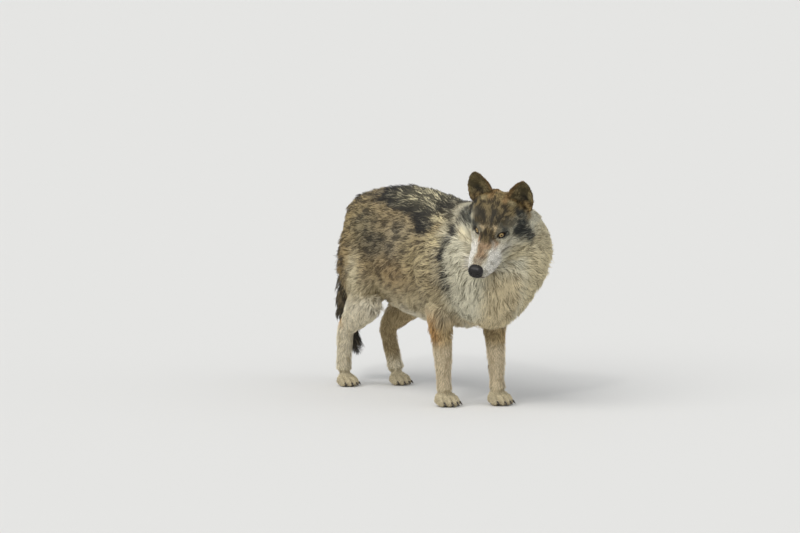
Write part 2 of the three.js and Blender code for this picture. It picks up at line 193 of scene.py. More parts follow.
# ---------------------------------------------------------------- regions of the body
def regions(points):
    """How much each point belongs to the parts of the body, from 0 to 1.

    "face" is the short coat in front of the cheeks' ruff; "head" is face, crown, ears and cheeks.
    Each is a product of S-curves of the place, and the greatest of them where a part is made of several.
    """
    local = to_head(points)
    lx, ly, lz = local.T
    side = np.abs(ly)
    skull = np.linalg.norm((local - [-58, 0, -22]) / [100, 122, 112], axis=1)
    muzzle = smooth(0, 18, lx) * smooth(84, 70, side) * smooth(-132, -116, lz) * smooth(60, 30, lz)
    ear = smooth(52, 72, lz) * smooth(-156, -136, lx)
    within_rim = smooth(1.3, 1.08, np.abs(ear_chart(local)[0])) * smooth(-58, -72, lx)
    ear *= np.maximum(within_rim, smooth(90, 100, lz))
    ear_root = np.minimum(2.4 * blob(np.abs(local) * [-1, 1, 1], (-100, 76, 40), (54, 60, 46)), 1)
    ear_root *= smooth(-40, -60, lx)
    head = np.maximum(np.maximum(smooth(1.12, 0.98, skull), muzzle), np.maximum(ear, ear_root))
    cheek = np.maximum(smooth(62, 92, side - 0.35 * lz), smooth(-84, -108, lz + 0.35 * np.maximum(lx, 0)))
    cheek = np.maximum(cheek, smooth(-96, -128, lx)) * (1 - ear)
    x, y, z = points.T
    fore = np.maximum(*(smooth(84, 60, path_distance(points, leg)[0]) for leg in FORE_LEGS))
    fore *= smooth(330, 235, z)
    hind = smooth(340, 225, z) * smooth(-90, -140, x)
    tail = smooth(66, 52, path_distance(points, TAIL)[0]) * smooth(-318, -345, x + 0.12 * (z - 500))
    neck = smooth(275, 345, x + 0.1 * (z - 450)) * (1 - head) * (1 - fore)
    return {
        "head": head,
        "face": head * (1 - cheek),
        "ear": ear * head,
        "ear_root": ear_root,
        "neck": neck,
        "fore": fore,
        "hind": hind,
        "tail": tail,
    }


def coat_depth(points):
    """Height of the coat's outline over the skin: deep on the ruff, thin on legs, least on the face."""
    r = regions(points)
    lx, _, lz = to_head(points).T
    z = points[:, 2]
    depth = DEPTH["trunk"] + 3 * smooth(560, 640, z)
    depth += (DEPTH["neck"] - depth) * r["neck"]
    depth += (DEPTH["legs"] - depth) * r["fore"] * smooth(330, 180, z)
    thigh = (DEPTH["legs"] - depth) * smooth(400, 170, z) * smooth(-90, -140, points[:, 0])
    depth += thigh * (1 - r["tail"])
    depth += (DEPTH["tail"] - depth) * r["tail"] * smooth(80, 140, z)
    depth = np.where(z < 60, np.minimum(depth, 1.5 + 0.03 * np.maximum(z, 0)), depth)
    face = DEPTH["face"] + 2.5 * smooth(-10, -60, lx) * smooth(20, 60, lz)
    face += (DEPTH["ear"] - face) * r["ear"]
    depth += (DEPTH["cheeks"] - depth) * r["head"]
    depth += (face - depth) * r["face"]
    return depth + (np.minimum(depth, 5) - depth) * r["ear_root"]


# ---------------------------------------------------------------- meshes as arrays
def points_of(mesh):
    """The mesh's points in the animal's frame."""
    flat = np.empty(len(mesh.vertices) * 3)
    mesh.vertices.foreach_get("co", flat)
    return flat.reshape(-1, 3) * 1000 + ORIGIN


def set_points(mesh, points):
    """Moves the mesh's points to places in the animal's frame."""
    mesh.vertices.foreach_set("co", ((points - ORIGIN) / 1000).astype(np.float32).ravel())
    mesh.update()


def edges_of(mesh):
    """The two points of each edge."""
    flat = np.empty(len(mesh.edges) * 2, np.int32)
    mesh.edges.foreach_get("vertices", flat)
    return flat.reshape(-1, 2)


def normals_of(mesh):
    """The normal at each point."""
    flat = np.empty(len(mesh.vertices) * 3, np.float32)
    mesh.vertex_normals.foreach_get("vector", flat)
    return flat.reshape(-1, 3).astype(float)


def mean_of_neighbours(values, edges):
    """For each point the mean over its neighbours of an array of rows."""
    n = len(values)
    a, b = edges.T
    count = np.bincount(a, minlength=n) + np.bincount(b, minlength=n)
    columns = [np.bincount(a, c[b], n) + np.bincount(b, c[a], n) for c in values.T]
    return np.stack(columns, 1) / np.maximum(count, 1)[:, None]


def relaxed(values, edges, times, share=0.5, hold=0.0):
    """Each row moves by `share` to its neighbours' mean, then back by `hold`, `times` over."""
    for _ in range(times):
        values = values + share * (mean_of_neighbours(values, edges) - values)
        if hold:
            values = values - hold * (mean_of_neighbours(values, edges) - values)
    return values


def mesh_from(name, points, faces):
    """A mesh from points in the animal's frame and an array of faces of one size."""
    mesh = bpy.data.meshes.new(name)
    mesh.from_pydata(((points - ORIGIN) / 1000).tolist(), [], faces.tolist())
    mesh.update()
    return mesh


def show(name, mesh, material, replaced=()):
    """A finished piece: smooth, in its material, riding on the body."""
    mesh.name = name
    piece = bpy.data.objects.new(name, mesh)
    bpy.context.scene.collection.objects.link(piece)
    mesh.materials.clear()
    mesh.materials.append(material)
    mesh.shade_smooth()
    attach(piece, "root")
    if replaced:
        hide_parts(*replaced)
    return piece


def set_colours(mesh, name, colours):
    """A colour for each point, linear."""
    layer = mesh.color_attributes.new(name, "FLOAT_COLOR", "POINT")
    rgba = np.concatenate([colours, np.ones((len(colours), 1))], 1)
    layer.data.foreach_set("color", rgba.astype(np.float32).ravel())


# ---------------------------------------------------------------- colours and materials
# grains to the metre of the three patterns
FUR_GRAIN = 420.0  # 2.4 mm, the width of a few hairs side by side, as coarse as it needs to show
PEBBLE_GRAIN = 620.0  # 1.6 mm, the pebbles of a nose pad
HORN_GRAIN = 600.0  # 1.7 mm, the mottling of worn claws


def linear(hex_colour):
    """An sRGB hex colour as linear light."""
    channels = np.array([int(hex_colour[i : i + 2], 16) for i in (1, 3, 5)]) / 255
    return np.where(channels <= 0.04045, channels / 12.92, ((channels + 0.055) / 1.055) ** 2.4)


def add_node(tree, kind, inputs=None, **settings):
    """A node with its settings, and its inputs set to values or linked to other nodes' outputs."""
    node = tree.nodes.new(kind)
    for key, value in settings.items():
        setattr(node, key, value)
    for key, value in (inputs or {}).items():
        if isinstance(value, bpy.types.NodeSocket):
            tree.links.new(value, node.inputs[key])
        else:
            node.inputs[key].default_value = value
    return node


def new_material(name, **values):
    """A material and its shader, with constant values on the shader's own sockets."""
    material = bpy.data.materials.new(name)
    material.use_nodes = True
    tree = material.node_tree
    shader = tree.nodes["Principled BSDF"]
    for key, value in values.items():
        shader.inputs[key.replace("_", " ")].default_value = value
    return material, tree, shader


def hair_material():
    """Guard hair: keratin, IOR 1.55, dull along its scales, with a faint gloss."""
    material, tree, shader = new_material("guard_hair", Roughness=0.62, IOR=1.55)
    shader.inputs["Specular IOR Level"].default_value = 0.25
    # the tufts' colours, whose darkened roots are painted shade of the deep coat
    colour = add_node(tree, "ShaderNodeAttribute", attribute_name="hair_colour_with_root_shade")
    tree.links.new(colour.outputs["Color"], shader.inputs["Base Color"])
    return material


def skin_material():
    """Skin under fur: dull, in the coat's markings darkened by painted shade of the deep coat, broken up by
    a grain as wide as a few hairs.
    """
    material, tree, shader = new_material("short_fur_skin", Roughness=0.8, IOR=1.5)
    shader.inputs["Specular IOR Level"].default_value = 0.2
    place = add_node(tree, "ShaderNodeTexCoord").outputs["Object"]
    # the skin's colours: markings darkened by painted shade of the deep coat
    markings_with_painted_shade = add_node(tree, "ShaderNodeAttribute", attribute_name="markings_with_painted_shade").outputs["Color"]
    grain = add_node(
        tree, "ShaderNodeTexNoise", {"Vector": place, "Scale": FUR_GRAIN, "Detail": 3.0}
    ).outputs["Fac"]
    shade = add_node(
        tree,
        "ShaderNodeMapRange",
        {"Value": grain, "From Min": 0.3, "From Max": 0.7, "To Min": 0.72, "To Max": 1.15},
    ).outputs["Result"]
    mixed = add_node(
        tree,
        "ShaderNodeMix",
        {0: 1.0, 6: markings_with_painted_shade, 7: shade},
        data_type="RGBA",
        blend_type="MULTIPLY",
    ).outputs[2]
    tree.links.new(mixed, shader.inputs["Base Color"])
    bump = add_node(tree, "ShaderNodeBump", {"Height": grain, "Strength": 0.5, "Distance": 0.0012})
    tree.links.new(bump.outputs["Normal"], shader.inputs["Normal"])
    return material


def bare_skin_material():
    """Bare black skin of nose and lids: moist, so faintly shiny, and finely pebbled."""
    material, tree, shader = new_material("bare_black_skin", Roughness=0.45, IOR=1.45)
    shader.inputs["Specular IOR Level"].default_value = 0.35
    shader.inputs["Coat Weight"].default_value = 0.12
    shader.inputs["Coat Roughness"].default_value = 0.25
    place = add_node(tree, "ShaderNodeTexCoord").outputs["Object"]
    pebbles = add_node(tree, "ShaderNodeTexVoronoi", {"Vector": place, "Scale": PEBBLE_GRAIN})
    tone = add_node(tree, "ShaderNodeMapRange", {"Value": pebbles.outputs["Distance"], "To Max": 1.0})
    ramp = add_node(
        tree,
        "ShaderNodeMix",
        {0: tone.outputs["Result"], 6: (*linear("#1b1615"), 1), 7: (*linear("#0b0909"), 1)},
        data_type="RGBA",
    )
    tree.links.new(ramp.outputs[2], shader.inputs["Base Color"])
    bump = add_node(
        tree,
        "ShaderNodeBump",
        {"Height": pebbles.outputs["Distance"], "Strength": 0.35, "Distance": 0.0006},
        invert=True,
    )
    tree.links.new(bump.outputs["Normal"], shader.inputs["Normal"])
    return material


def eye_material():
    """Eye: a wet cornea, IOR 1.376, is the shiny coat over the colours of iris and pupil."""
    material, tree, shader = new_material("amber_eye", Roughness=0.35, IOR=1.376)
    shader.inputs["Specular IOR Level"].default_value = 0.1
    shader.inputs["Coat Weight"].default_value = 0.6
    shader.inputs["Coat IOR"].default_value = 1.376
    shader.inputs["Coat Roughness"].default_value = 0.04
    colour = add_node(tree, "ShaderNodeAttribute", attribute_name="iris_colour")
    tree.links.new(colour.outputs["Color"], shader.inputs["Base Color"])
    return material


def horn_material():
    """Claws: dark horn, IOR 1.54, worn dull and mottled."""
    material, tree, shader = new_material("dark_horn", Roughness=0.45, IOR=1.54)
    place = add_node(tree, "ShaderNodeTexCoord").outputs["Object"]
    mottling = add_node(tree, "ShaderNodeTexNoise", {"Vector": place, "Scale": HORN_GRAIN}).outputs["Fac"]
    ramp = add_node(
        tree,
        "ShaderNodeMix",
        {0: mottling, 6: (*linear("#15110f"), 1), 7: (*linear("#4a3f35"), 1)},
        data_type="RGBA",
    )
    tree.links.new(ramp.outputs[2], shader.inputs["Base Color"])
    return material


# ---------------------------------------------------------------- markings
def layered(count, layers):
    """Paints layers in turn: each is a weight, a pale colour, a dark colour and a share of dark tips.

    Each layer moves what is below it towards its own values by its weight, held between 0 and 1.
    """
    pale, dark, share = np.zeros((count, 3)), np.zeros((count, 3)), np.zeros(count)
    for weight, pale_hex, dark_hex, dark_share in layers:
        w = np.clip(weight, 0, 1)
        pale += (linear(pale_hex) - pale) * w[:, None]
        dark += (linear(dark_hex) - dark) * w[:, None]
        share += (dark_share - share) * w
    return pale, dark, share


SADDLE = (  # how far forward, and the height where the black of the back ends on the side
    (-345, 545),
    (-300, 592),
    (-236, 616),
    (-178, 628),
    (-91, 618),
    (2, 600),
    (75, 586),
    (139, 578),
    (182, 543),
    (223, 524),
    (246, 562),
    (262, 600),
    (300, 588),
    (340, 560),
    (400, 560),
)
SHOULDER_DARK_AND_SHADE = (  # the dark line behind the ruff, seen from the side: dark hair, and painted shade where the ruff meets the shoulder
    (365, 0, 600),
    (352, 0, 570),
    (322, 0, 525),
    (314, 0, 480),
    (322, 0, 430),
    (336, 0, 380),
    (346, 0, 325),
)
FORE_AXES = (((50, 290), (132, 282), (338, 256)), ((50, 356), (134, 350), (338, 314)))
PATCH_COLOURS = ("#77776a", "#15171a")  # pale and dark hair of the dark patches at eyes and temples


def mouth_height(x):
    """Height of the lips at each distance forwards, straight between the places of MOUTH."""
    return np.interp(x, *np.array(MOUTH).T)


def face_layers(local):
    """Markings of the head, in the head's frame; all but lips and eyelids have edges shaken by 5 mm."""
    mouth = mouth_height(local[:, 0])
    lips = smooth(5.4, 2.6, np.abs(local[:, 2] - mouth)) * smooth(36, 48, local[:, 0])
    shaken = local + np.stack([noise(local, 17.0, k) - 0.5 for k in (5, 6, 7)], 1) * 22
    x, y, z = shaken.T
    side = np.abs(y)
    one = np.ones(len(x))
    m = np.stack([x, side, z], 1)
    top = smooth(-50, -30, z - 0.02 * x)
    to_eye, _ = path_distance(m, ((-8, 50, 6), (-44, 76, -4)))
    down, _ = path_distance(m, ((-70, 76, 26), (-56, 82, -14), (-68, 94, -50), (-80, 98, -90)))
    patch = np.maximum(smooth(24, 8, to_eye), smooth(38, 12, down + 16 * smooth(-20, -90, z)))
    root = regions(from_head(local))["ear_root"]
    layers = [
        (one, "#d6d0b8", "#8f8872", 0.14),
        (smooth(-20, -70, z) * smooth(30, -20, x), "#d6caa6", "#8d8066", 0.18),
        (smooth(-60, -110, x) * smooth(-20, 30, z), "#a8966f", "#4a4030", 0.42),
        (root * smooth(46, 74, side) * smooth(-10, 30, z), "#ad9161", "#4b3d27", 0.38),
        (blob(m, (-58, 0, 62), (66, 84, 50)) * 1.8, "#7d6d4a", "#262019", 0.56),
        (blob(m, (-92, 0, 84), (26, 40, 26)) * 1.3, "#a48d5e", "#3d3423", 0.4),
        (blob(m, (-20, 20, 36), (34, 44, 28)) * 1.6, "#6c5f43", "#1f1c16", 0.64),
        (patch, *PATCH_COLOURS, 0.76),
        (patch * smooth(-40, -80, z), "#8f8c7d", "#2a2b2a", 0.6),
        (blob(m, (22, 9, 0), (34, 19, 26)) * 2.2, "#6f5f40", "#231e14", 0.6),
        (blob(m, (10, 21, 22), (8, 8, 7)) * 1.3, "#cdb890", "#7b6a4f", 0.12),
        (blob(m, (16, 46, -34), (30, 22, 18)) * 1.1, "#d6d0c0", "#8a8270", 0.24),
        (smooth(11, 30, side) * smooth(20, 48, x), "#efebe0", "#8f8776", 0.18),
        (top * smooth(25, 8, side) * smooth(34, 58, x), "#ab9070", "#5d4c3a", 0.3),
        (top * smooth(22, 6, side) * smooth(84, 108, x), "#8f7f6b", "#463d34", 0.42),
        (blob(m, (26, 25, -22), (16, 7, 16)) * 1.2, "#b08a62", "#54391f", 0.36),
        (blob(m, (4, 48, -40), (12, 8, 5)) * 0.9, "#7b7365", "#2f2e2c", 0.6),
        (smooth(-8, -18, z - mouth) * smooth(20, 60, x), "#d3ccba", "#8c8270", 0.12),
        (lips, "#5b3f38", "#2a1c1a", 0.5),
    ]
    for _, one_side in SIDES:
        rim = smooth(1.25, 0.95, beyond_lids(local, one_side, 3.0))
        layers.append((rim, "#4a3a29", "#17120f", 0.8))
    return layers


def ear_chart(local):
    """How far each point is out towards an ear's rim, signed, and how far up, as shares of the ear."""
    x, y, z = local.T
    side = np.where(y > 0, 1, -1)
    middle = np.where(y > 0, 63, -51) + 0.26 * side * (z - 24)
    high = (z - 24) / 130
    half = 51 * (1 - np.clip(high, 0, 1) ** 2.3) ** 0.62
    return (y - middle) * side / np.maximum(half, 3), high


def ear_hollow(local, normals):
    """1 on the open front of an ear, 0 on its back and rims."""
    across, _ = ear_chart(local)
    facing_front = smooth(0.15, 0.5, normals @ np.array([0.97, 0.0, 0.1]))
    return facing_front * smooth(0.98, 0.8, np.abs(across))


def ear_layers(local, normals):
    """Markings of the ears: olive hollow with painted shade at its deepest, a pale inner fringe, tan back,
    ochre rims.
    """
    across, high = ear_chart(local)
    inside = ear_hollow(local, normals)
    painted_hollow_shade = inside * blob(np.stack([across, high], 1), (0.15, 0.36), (0.4, 0.2)) * 1.2
    rim = smooth(0.7, 0.92, np.abs(across))
    one = np.ones(len(across))
    return [
        (one, "#9c855a", "#57462c", 0.36),
        (smooth(0.86, 0.98, high), "#7b6440", "#2c251b", 0.5),
        (inside, "#a39268", "#524a33", 0.44),
        # painted shade in the deepest part of the ear's hollow
        (painted_hollow_shade, "#625842", "#28241b", 0.64),
        (inside * smooth(-0.1, -0.5, across) * smooth(0.5, 0.2, high), "#b3a47c", "#5d533b", 0.35),
        (rim, "#a98b5e", "#5c4629", 0.34),
        (smooth(0.16, 0.0, high), "#8f7c52", "#3d3423", 0.46),
    ]


def body_layers(points):
    """Markings of neck, trunk, legs and tail, with painted shade behind the ruff and on the left hind leg.
    """
    x, y, z = points.T
    side = np.abs(y)
    m = np.stack([x, side, z], 1)
    one = np.ones(len(x))
    r = regions(points)
    wave = (noise(points, 70.0, 3) - 0.5) * 30 + (noise(points, 22.0, 4) - 0.5) * 30
    height = z + wave
    nape = smooth(90, 40, np.abs(y - 0.3 * (x - 330)))
    front = np.interp(z, (480, 540, 600, 660), (335, 360, 400, 432)) + 40 * nape
    above = smooth(-14, 16, height - np.interp(x, *np.array(SADDLE).T))
    saddle = above * smooth(16, -12, x - front + 0.6 * wave)
    saddle *= smooth(690, 650, z) * smooth(0.5, 0.2, r["head"])
    line, _ = path_distance(np.stack([x, 0 * x, z], 1), SHOULDER_DARK_AND_SHADE)
    line = smooth(15, 5, line + 0.3 * wave) * smooth(60, 85, side)
    fore_leg, hind_leg = r["fore"], r["hind"]
    right_axis, left_axis = (np.interp(z, *np.array(leg).T) for leg in FORE_AXES)
    axis = np.where(y < 0, right_axis, left_axis)
    outer = smooth(76, 96, side)
    hock = hind_leg * smooth(20, -20, x + 0.6 * (z - 240) + 296) * smooth(180, 220, z)
    return [
        (one, "#a8956f", "#4a4031", 0.46),
        (smooth(430, 300, height), "#c4b693", "#7d6f54", 0.26),
        (smooth(315, 265, height), "#d8d0ba", "#a99c82", 0.08),
        (blob(m, (-280, 70, 540), (120, 110, 90)) * 1.3, "#ae9a6e", "#3f3629", 0.48),
        (blob(m, (-150, 110, 540), (90, 70, 60)) * 1.2, "#9a8d6c", "#332f26", 0.56),
        (blob(m, (-66, 120, 488), (84, 66, 42)) * 1.5, "#857a60", "#2b271f", 0.66),
        (blob(m, (60, 125, 480), (70, 60, 38)) * 1.0, "#a1947a", "#38352d", 0.56),
        (blob(m, (90, 130, 540), (90, 60, 40)), "#a99c80", "#3a3833", 0.54),
        (blob(m, (170, 130, 460), (90, 60, 80)), "#b9a87f", "#4a4233", 0.42),
        (blob(m, (30, 130, 400), (110, 60, 50)), "#b39a70", "#5a4a34", 0.42),
        (blob(m, (-178, 100, 378), (28, 60, 64)) * 1.5, "#d4c8a6", "#8a7f68", 0.16),
        (blob(m, (-284, 80, 392), (62, 90, 80)) * 1.6, "#8d7750", "#2f281d", 0.54),
        (saddle * (1 - r["tail"]), "#787262", "#131417", 0.93),
        (saddle * blob(m, (105, 20, 655), (120, 110, 44)) * 1.4, "#e8ddb4", "#15171a", 0.78),
        (saddle * smooth(265, 305, x), "#aaa288", "#17191c", 0.86),
        (blob(m, (260, 105, 596), (34, 60, 14)) * 1.6, "#e2d4a8", "#4f4636", 0.24),
        (blob(m, (285, 118, 530), (36, 50, 30)) * 1.1, "#d6c79a", "#453e31", 0.34),
        (blob(m, (258, 115, 470), (34, 60, 76)), "#c6b790", "#494031", 0.34),
        (r["neck"] * (1 - saddle), "#d9d3ba", "#857f67", 0.2),
        (r["neck"] * smooth(70, 30, np.abs(y - 15)) * smooth(480, 400, z), "#dccca6", "#857455", 0.18),
        (r["neck"] * smooth(60, 90, y) * smooth(330, 420, x), "#d8cba6", "#8a7e63", 0.16),
        # dark hair behind the ruff, with painted shade where the ruff meets the shoulder
        (line, "#7a766a", "#1e1f22", 0.78),
        (fore_leg, "#c9b183", "#7a6543", 0.3),
        (fore_leg * outer * smooth(150, 200, z) * smooth(44, 8, x - axis), "#c59a64", "#7b5f3c", 0.28),
        (fore_leg * outer * smooth(10, 34, x - axis) * smooth(230, 280, z), "#93866b", "#3b352b", 0.52),
        (fore_leg * smooth(60, 40, side) * 0.8, "#ccbd98", "#958464", 0.16),
        (fore_leg * smooth(220, 170, z), "#e0cfae", "#b39f7c", 0.1),
        (hind_leg, "#efe4c8", "#a8966f", 0.1),
        (hock, "#c29457", "#6d5230", 0.3),
        # painted shade on the left hind leg, on the side away from the light: darker and warmer tan
        (hind_leg * smooth(10, 50, y) * smooth(60, 110, z), "#c9b48a", "#7f6a48", 0.24),
        (smooth(70, 30, z), "#dccfac", "#a8977a", 0.1),
        (r["tail"], "#85765a", "#2c2820", 0.6),
        (r["tail"] * smooth(210, 130, z), "#5d5444", "#191715", 0.8),
    ]


def markings(points, normals):
    """Pale and dark hair colours and the share of dark-tipped hair, at points of the skin, with painted
    shade behind the ruff, on the left hind leg and in the ears' hollows.
    """
    body = layered(len(points), body_layers(points))
    local = to_head(points)
    face = layered(len(points), face_layers(local))
    ears = layered(len(points), ear_layers(local, normals @ HEAD_TURN))
    r = regions(points)

    temple = np.minimum(2 * blob(local, (-84, -106, -52), (36, 28, 52)), 1)  # on the right side only

    def blended(below, above, weight):
        """Below where the weight is 0, above where it is 1."""
        return below + (above - below) * (weight[:, None] if below.ndim == 2 else weight)

    whole = [blended(blended(b, f, r["head"]), e, r["ear"]) for b, f, e in zip(body, face, ears)]
    dark_hair = [linear(PATCH_COLOURS[0]), linear(PATCH_COLOURS[1]), 0.74]
    return [blended(w, d, temple) for w, d in zip(whole, dark_hair)]


# ---------------------------------------------------------------- skin
EARS = ("ear_left", "ear_right")
SKULL = ("head", "lower_jaw")
FEET = tuple(
    f"{part}_{end}_{side}"
    for part in ("pastern", "paw")
    for end in ("fore", "hind")
    for side in ("left", "right")
)
TRUNK = ("neck", "chest", "belly", "rump", "tail_base", "tail_middle", "tail_tip") + tuple(
    f"{part}_{side}" for part in ("shoulder", "forearm", "thigh", "shank") for side in ("left", "right")
)


def shell(nodes, voxel, swell, balls=()):
    """One closed surface round copies of CAD nodes: corners merged, swollen to meet, remeshed."""
    whole = bmesh.new()
    for name in nodes:
        part = bmesh.new()
        part.from_mesh(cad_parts[name].data)
        bmesh.ops.remove_doubles(part, verts=part.verts, dist=1e-6)
        part.normal_update()
        for v in part.verts:
            v.co += v.normal * swell / 1000
        copy = bpy.data.meshes.new("part")
        part.to_mesh(copy)
        whole.from_mesh(copy)
        bpy.data.meshes.remove(copy)
        part.free()
    for centre, radius in balls:
        made = bmesh.ops.create_uvsphere(whole, u_segments=32, v_segments=20, radius=radius / 1000)
        at = Vector((centre - ORIGIN) / 1000)
        bmesh.ops.translate(whole, verts=made["verts"], vec=at)
    mesh = bpy.data.meshes.new("shell")
    whole.to_mesh(mesh)
    whole.free()
    piece = bpy.data.objects.new("shell", mesh)
    bpy.context.scene.collection.objects.link(piece)
    grid = piece.modifiers.new("grid", "REMESH")
    grid.mode = "VOXEL"
    grid.voxel_size = voxel / 1000
    return without_hollows(applied(piece))


def without_hollows(mesh):
    """Drops closed surfaces that face inwards, round hollows between the nodes.

    Points that edges join get one label, the least of their numbers, and each label's volume is the
    sum of a . (b x c) / 6 over its triangles, which is below nothing where they face inwards.
    """
    edges = edges_of(mesh)
    label = np.arange(len(mesh.vertices))
    while True:
        low = label[edges].min(1)
        new = label.copy()
        np.minimum.at(new, edges[:, 0], low)
        np.minimum.at(new, edges[:, 1], low)
        new = new[new[new]]
        if (new == label).all():
            break
        label = new
    mesh.calc_loop_triangles()
    corners = np.empty(len(mesh.loop_triangles) * 3, np.int32)
    mesh.loop_triangles.foreach_get("vertices", corners)
    a, b, c = points_of(mesh)[corners.reshape(-1, 3).T]
    volume = np.bincount(label[corners[::3]], (a * np.cross(b, c)).sum(1) / 6, len(label))
    shape = bmesh.new()
    shape.from_mesh(mesh)
    shape.verts.ensure_lookup_table()
    gone = np.flatnonzero(volume[label] < LEAST_VOLUME)
    bmesh.ops.delete(shape, geom=[shape.verts[i] for i in gone], context="VERTS")
    shape.to_mesh(mesh)
    shape.free()
    return mesh


def applied(piece):
    """The piece's mesh with its modifiers applied; the piece itself is removed."""
    graph = bpy.context.evaluated_depsgraph_get()
    mesh = bpy.data.meshes.new_from_object(piece.evaluated_get(graph))
    bpy.data.objects.remove(piece)
    return mesh


def nearest_on(target, points):
    """The target's nearest point to each of many points, by a Shrinkwrap modifier."""
    mesh = bpy.data.meshes.new("probe")
    mesh.vertices.add(len(points))
    set_points(mesh, points)
    piece = bpy.data.objects.new("probe", mesh)
    bpy.context.scene.collection.objects.link(piece)
    wrap = piece.modifiers.new("wrap", "SHRINKWRAP")
    wrap.target = target
    wrap.wrap_method = "NEAREST_SURFACEPOINT"
    found = applied(piece)
    nearest = points_of(found)
    bpy.data.meshes.remove(found)
    bpy.data.meshes.remove(mesh)
    return nearest


def sink(mesh, depth, steps=6):
    """Moves the surface in along its normals by a depth worked out at each point, in small steps."""
    points, edges = points_of(mesh), edges_of(mesh)
    way_in = depth(points)[:, None] / steps
    way_in = relaxed(way_in, edges, 6)
    for _ in range(steps):
        normals = unit(relaxed(normals_of(mesh), edges, 2))
        points = relaxed(points - normals * way_in, edges, 1, 0.35, 0.36)
        set_points(mesh, points)
    return mesh


def refine(mesh, near):
    """Splits the faces whose points all satisfy `near` into four."""
    inside = near(points_of(mesh))
    shape = bmesh.new()
    shape.from_mesh(mesh)
    shape.verts.ensure_lookup_table()
    edges = [e for e in shape.edges if inside[e.verts[0].index] and inside[e.verts[1].index]]
    bmesh.ops.subdivide_edges(shape, edges=edges, cuts=1, use_grid_fill=True)
    bmesh.ops.triangulate(shape, faces=[f for f in shape.faces if len(f.verts) > 4])
    shape.to_mesh(mesh)
    shape.free()
    return mesh


def mirrored(vector, side):
    """The vector on the left side, or with its sideways part turned round on the right."""
    return np.asarray(vector, float) * [1, side, 1]


def eye_frame(side):
    """Centre of the eyeball, and the axes of its slit: outwards to the far corner, up, and its gaze."""
    centre, gaze = mirrored(EYE, side), unit(mirrored(GAZE, side))
    outer = unit(np.cross([0, 0, 1], gaze)) * side
    up = np.cross(gaze, outer) * side
    along = outer * math.cos(SLANT) + up * math.sin(SLANT)
    across = up * math.cos(SLANT) - outer * math.sin(SLANT)
    return centre, along, across, gaze


def eye_chart(local, side):
    """Distance from the eyeball's centre, and arc lengths along and across the slit."""
    centre, along, across, gaze = eye_frame(side)
    ray = local - centre
    far = np.linalg.norm(ray, axis=1)
    ray = ray / np.maximum(far, 1e-6)[:, None]
    angle = np.arccos(np.clip(ray @ gaze, -1, 1))
    flat = np.stack([ray @ along, ray @ across], 1)
    flat *= (EYE_RADIUS * angle / np.maximum(np.linalg.norm(flat, axis=1), 1e-6))[:, None]
    return far, flat[:, 0], flat[:, 1]


def beyond_slit(far, a, b, wider):
    """Like slit, but measured in millimetres along the skin round the eye, which stands off the ball."""
    spread = np.maximum(far / (EYE_RADIUS + SKIN_OVER_EYE), 1)
    return slit(a * spread, b * spread, wider) + smooth(26, 40, far) * 9


def beyond_lids(local, side, wider):
    """beyond_slit for one eye, at points in the head's frame."""
    return beyond_slit(*eye_chart(local, side), wider)


def slit(a, b, wider=0.0):
    """1 on the edge of the almond opening, widened by so much, less inside it and more outside."""
    length = LID_HALF_LENGTH + wider
    reach = np.clip(1 - np.abs(a) / length, 0.02, 1)
    tall = np.where(b > 0, LID_UPPER, LID_LOWER) + wider
    half = tall * (1 - (1 - reach) ** 2) ** 0.75 + 0.05
    return np.maximum(np.abs(b) / half, np.abs(a) / length)


def sculpt_face(local, normals):
    """Brow, stop, cheek, lips and the openings of the eyes, as moves in the head's frame."""
    x, y, z = local.T
    side = np.abs(y)
    m = np.stack([x, side, z], 1)
    out = 5.0 * blob(m, (4, 27, 17), (13, 13, 8))
    out += 3.0 * blob(m, (-16, 52, 10), (14, 12, 9))
    out -= 3.0 * blob(m, (26, 0, -2), (16, 9, 14))
    out -= 3.5 * blob(m, (20, 34, -22), (14, 12, 9))
    out += 3.0 * blob(m, (-14, 60, -34), (26, 16, 14))
    out += 2.5 * blob(m, (96, 28, -76), (24, 12, 9))
    out -= 2.0 * blob(m, (70, 30, -54), (26, 10, 8))
    rise = z - mouth_height(x)
    lips = smooth(34, 50, x)
    out -= 3.4 * np.exp(-((rise / 1.7) ** 2)) * lips
    out += 1.3 * np.exp(-(((rise - 5) / 3.6) ** 2)) * lips
    out -= 1.6 * np.exp(-(((rise + 6) / 4.5) ** 2)) * lips
    out[side < 1.5] *= 0.9
    return local + normals * out[:, None]


def open_eyes(local):
    """Skin keeps clear of the eyeball outside the slit, and drops behind it inside."""
    for _, side in SIDES:
        far, a, b = eye_chart(local, side)
        centre = eye_frame(side)[0]
        edge = slit(a, b)
        around = smooth(40, 26, far) * smooth(3.2, 1.6, edge)
        lid = np.maximum(far, EYE_RADIUS + SKIN_OVER_EYE)
        target = lid + (EYE_RADIUS - 3.0 - lid) * smooth(1.12, 0.9, edge)
        new = far + (target - far) * around
        local = centre + (local - centre) * (new / np.maximum(far, 1e-6))[:, None]
    return local


def smooth_out(mesh, times, hold=0.52):
    """Relaxes the mesh's points and pushes them back a little more, so that it doesn't shrink."""
    set_points(mesh, relaxed(points_of(mesh), edges_of(mesh), times, 0.5, hold))


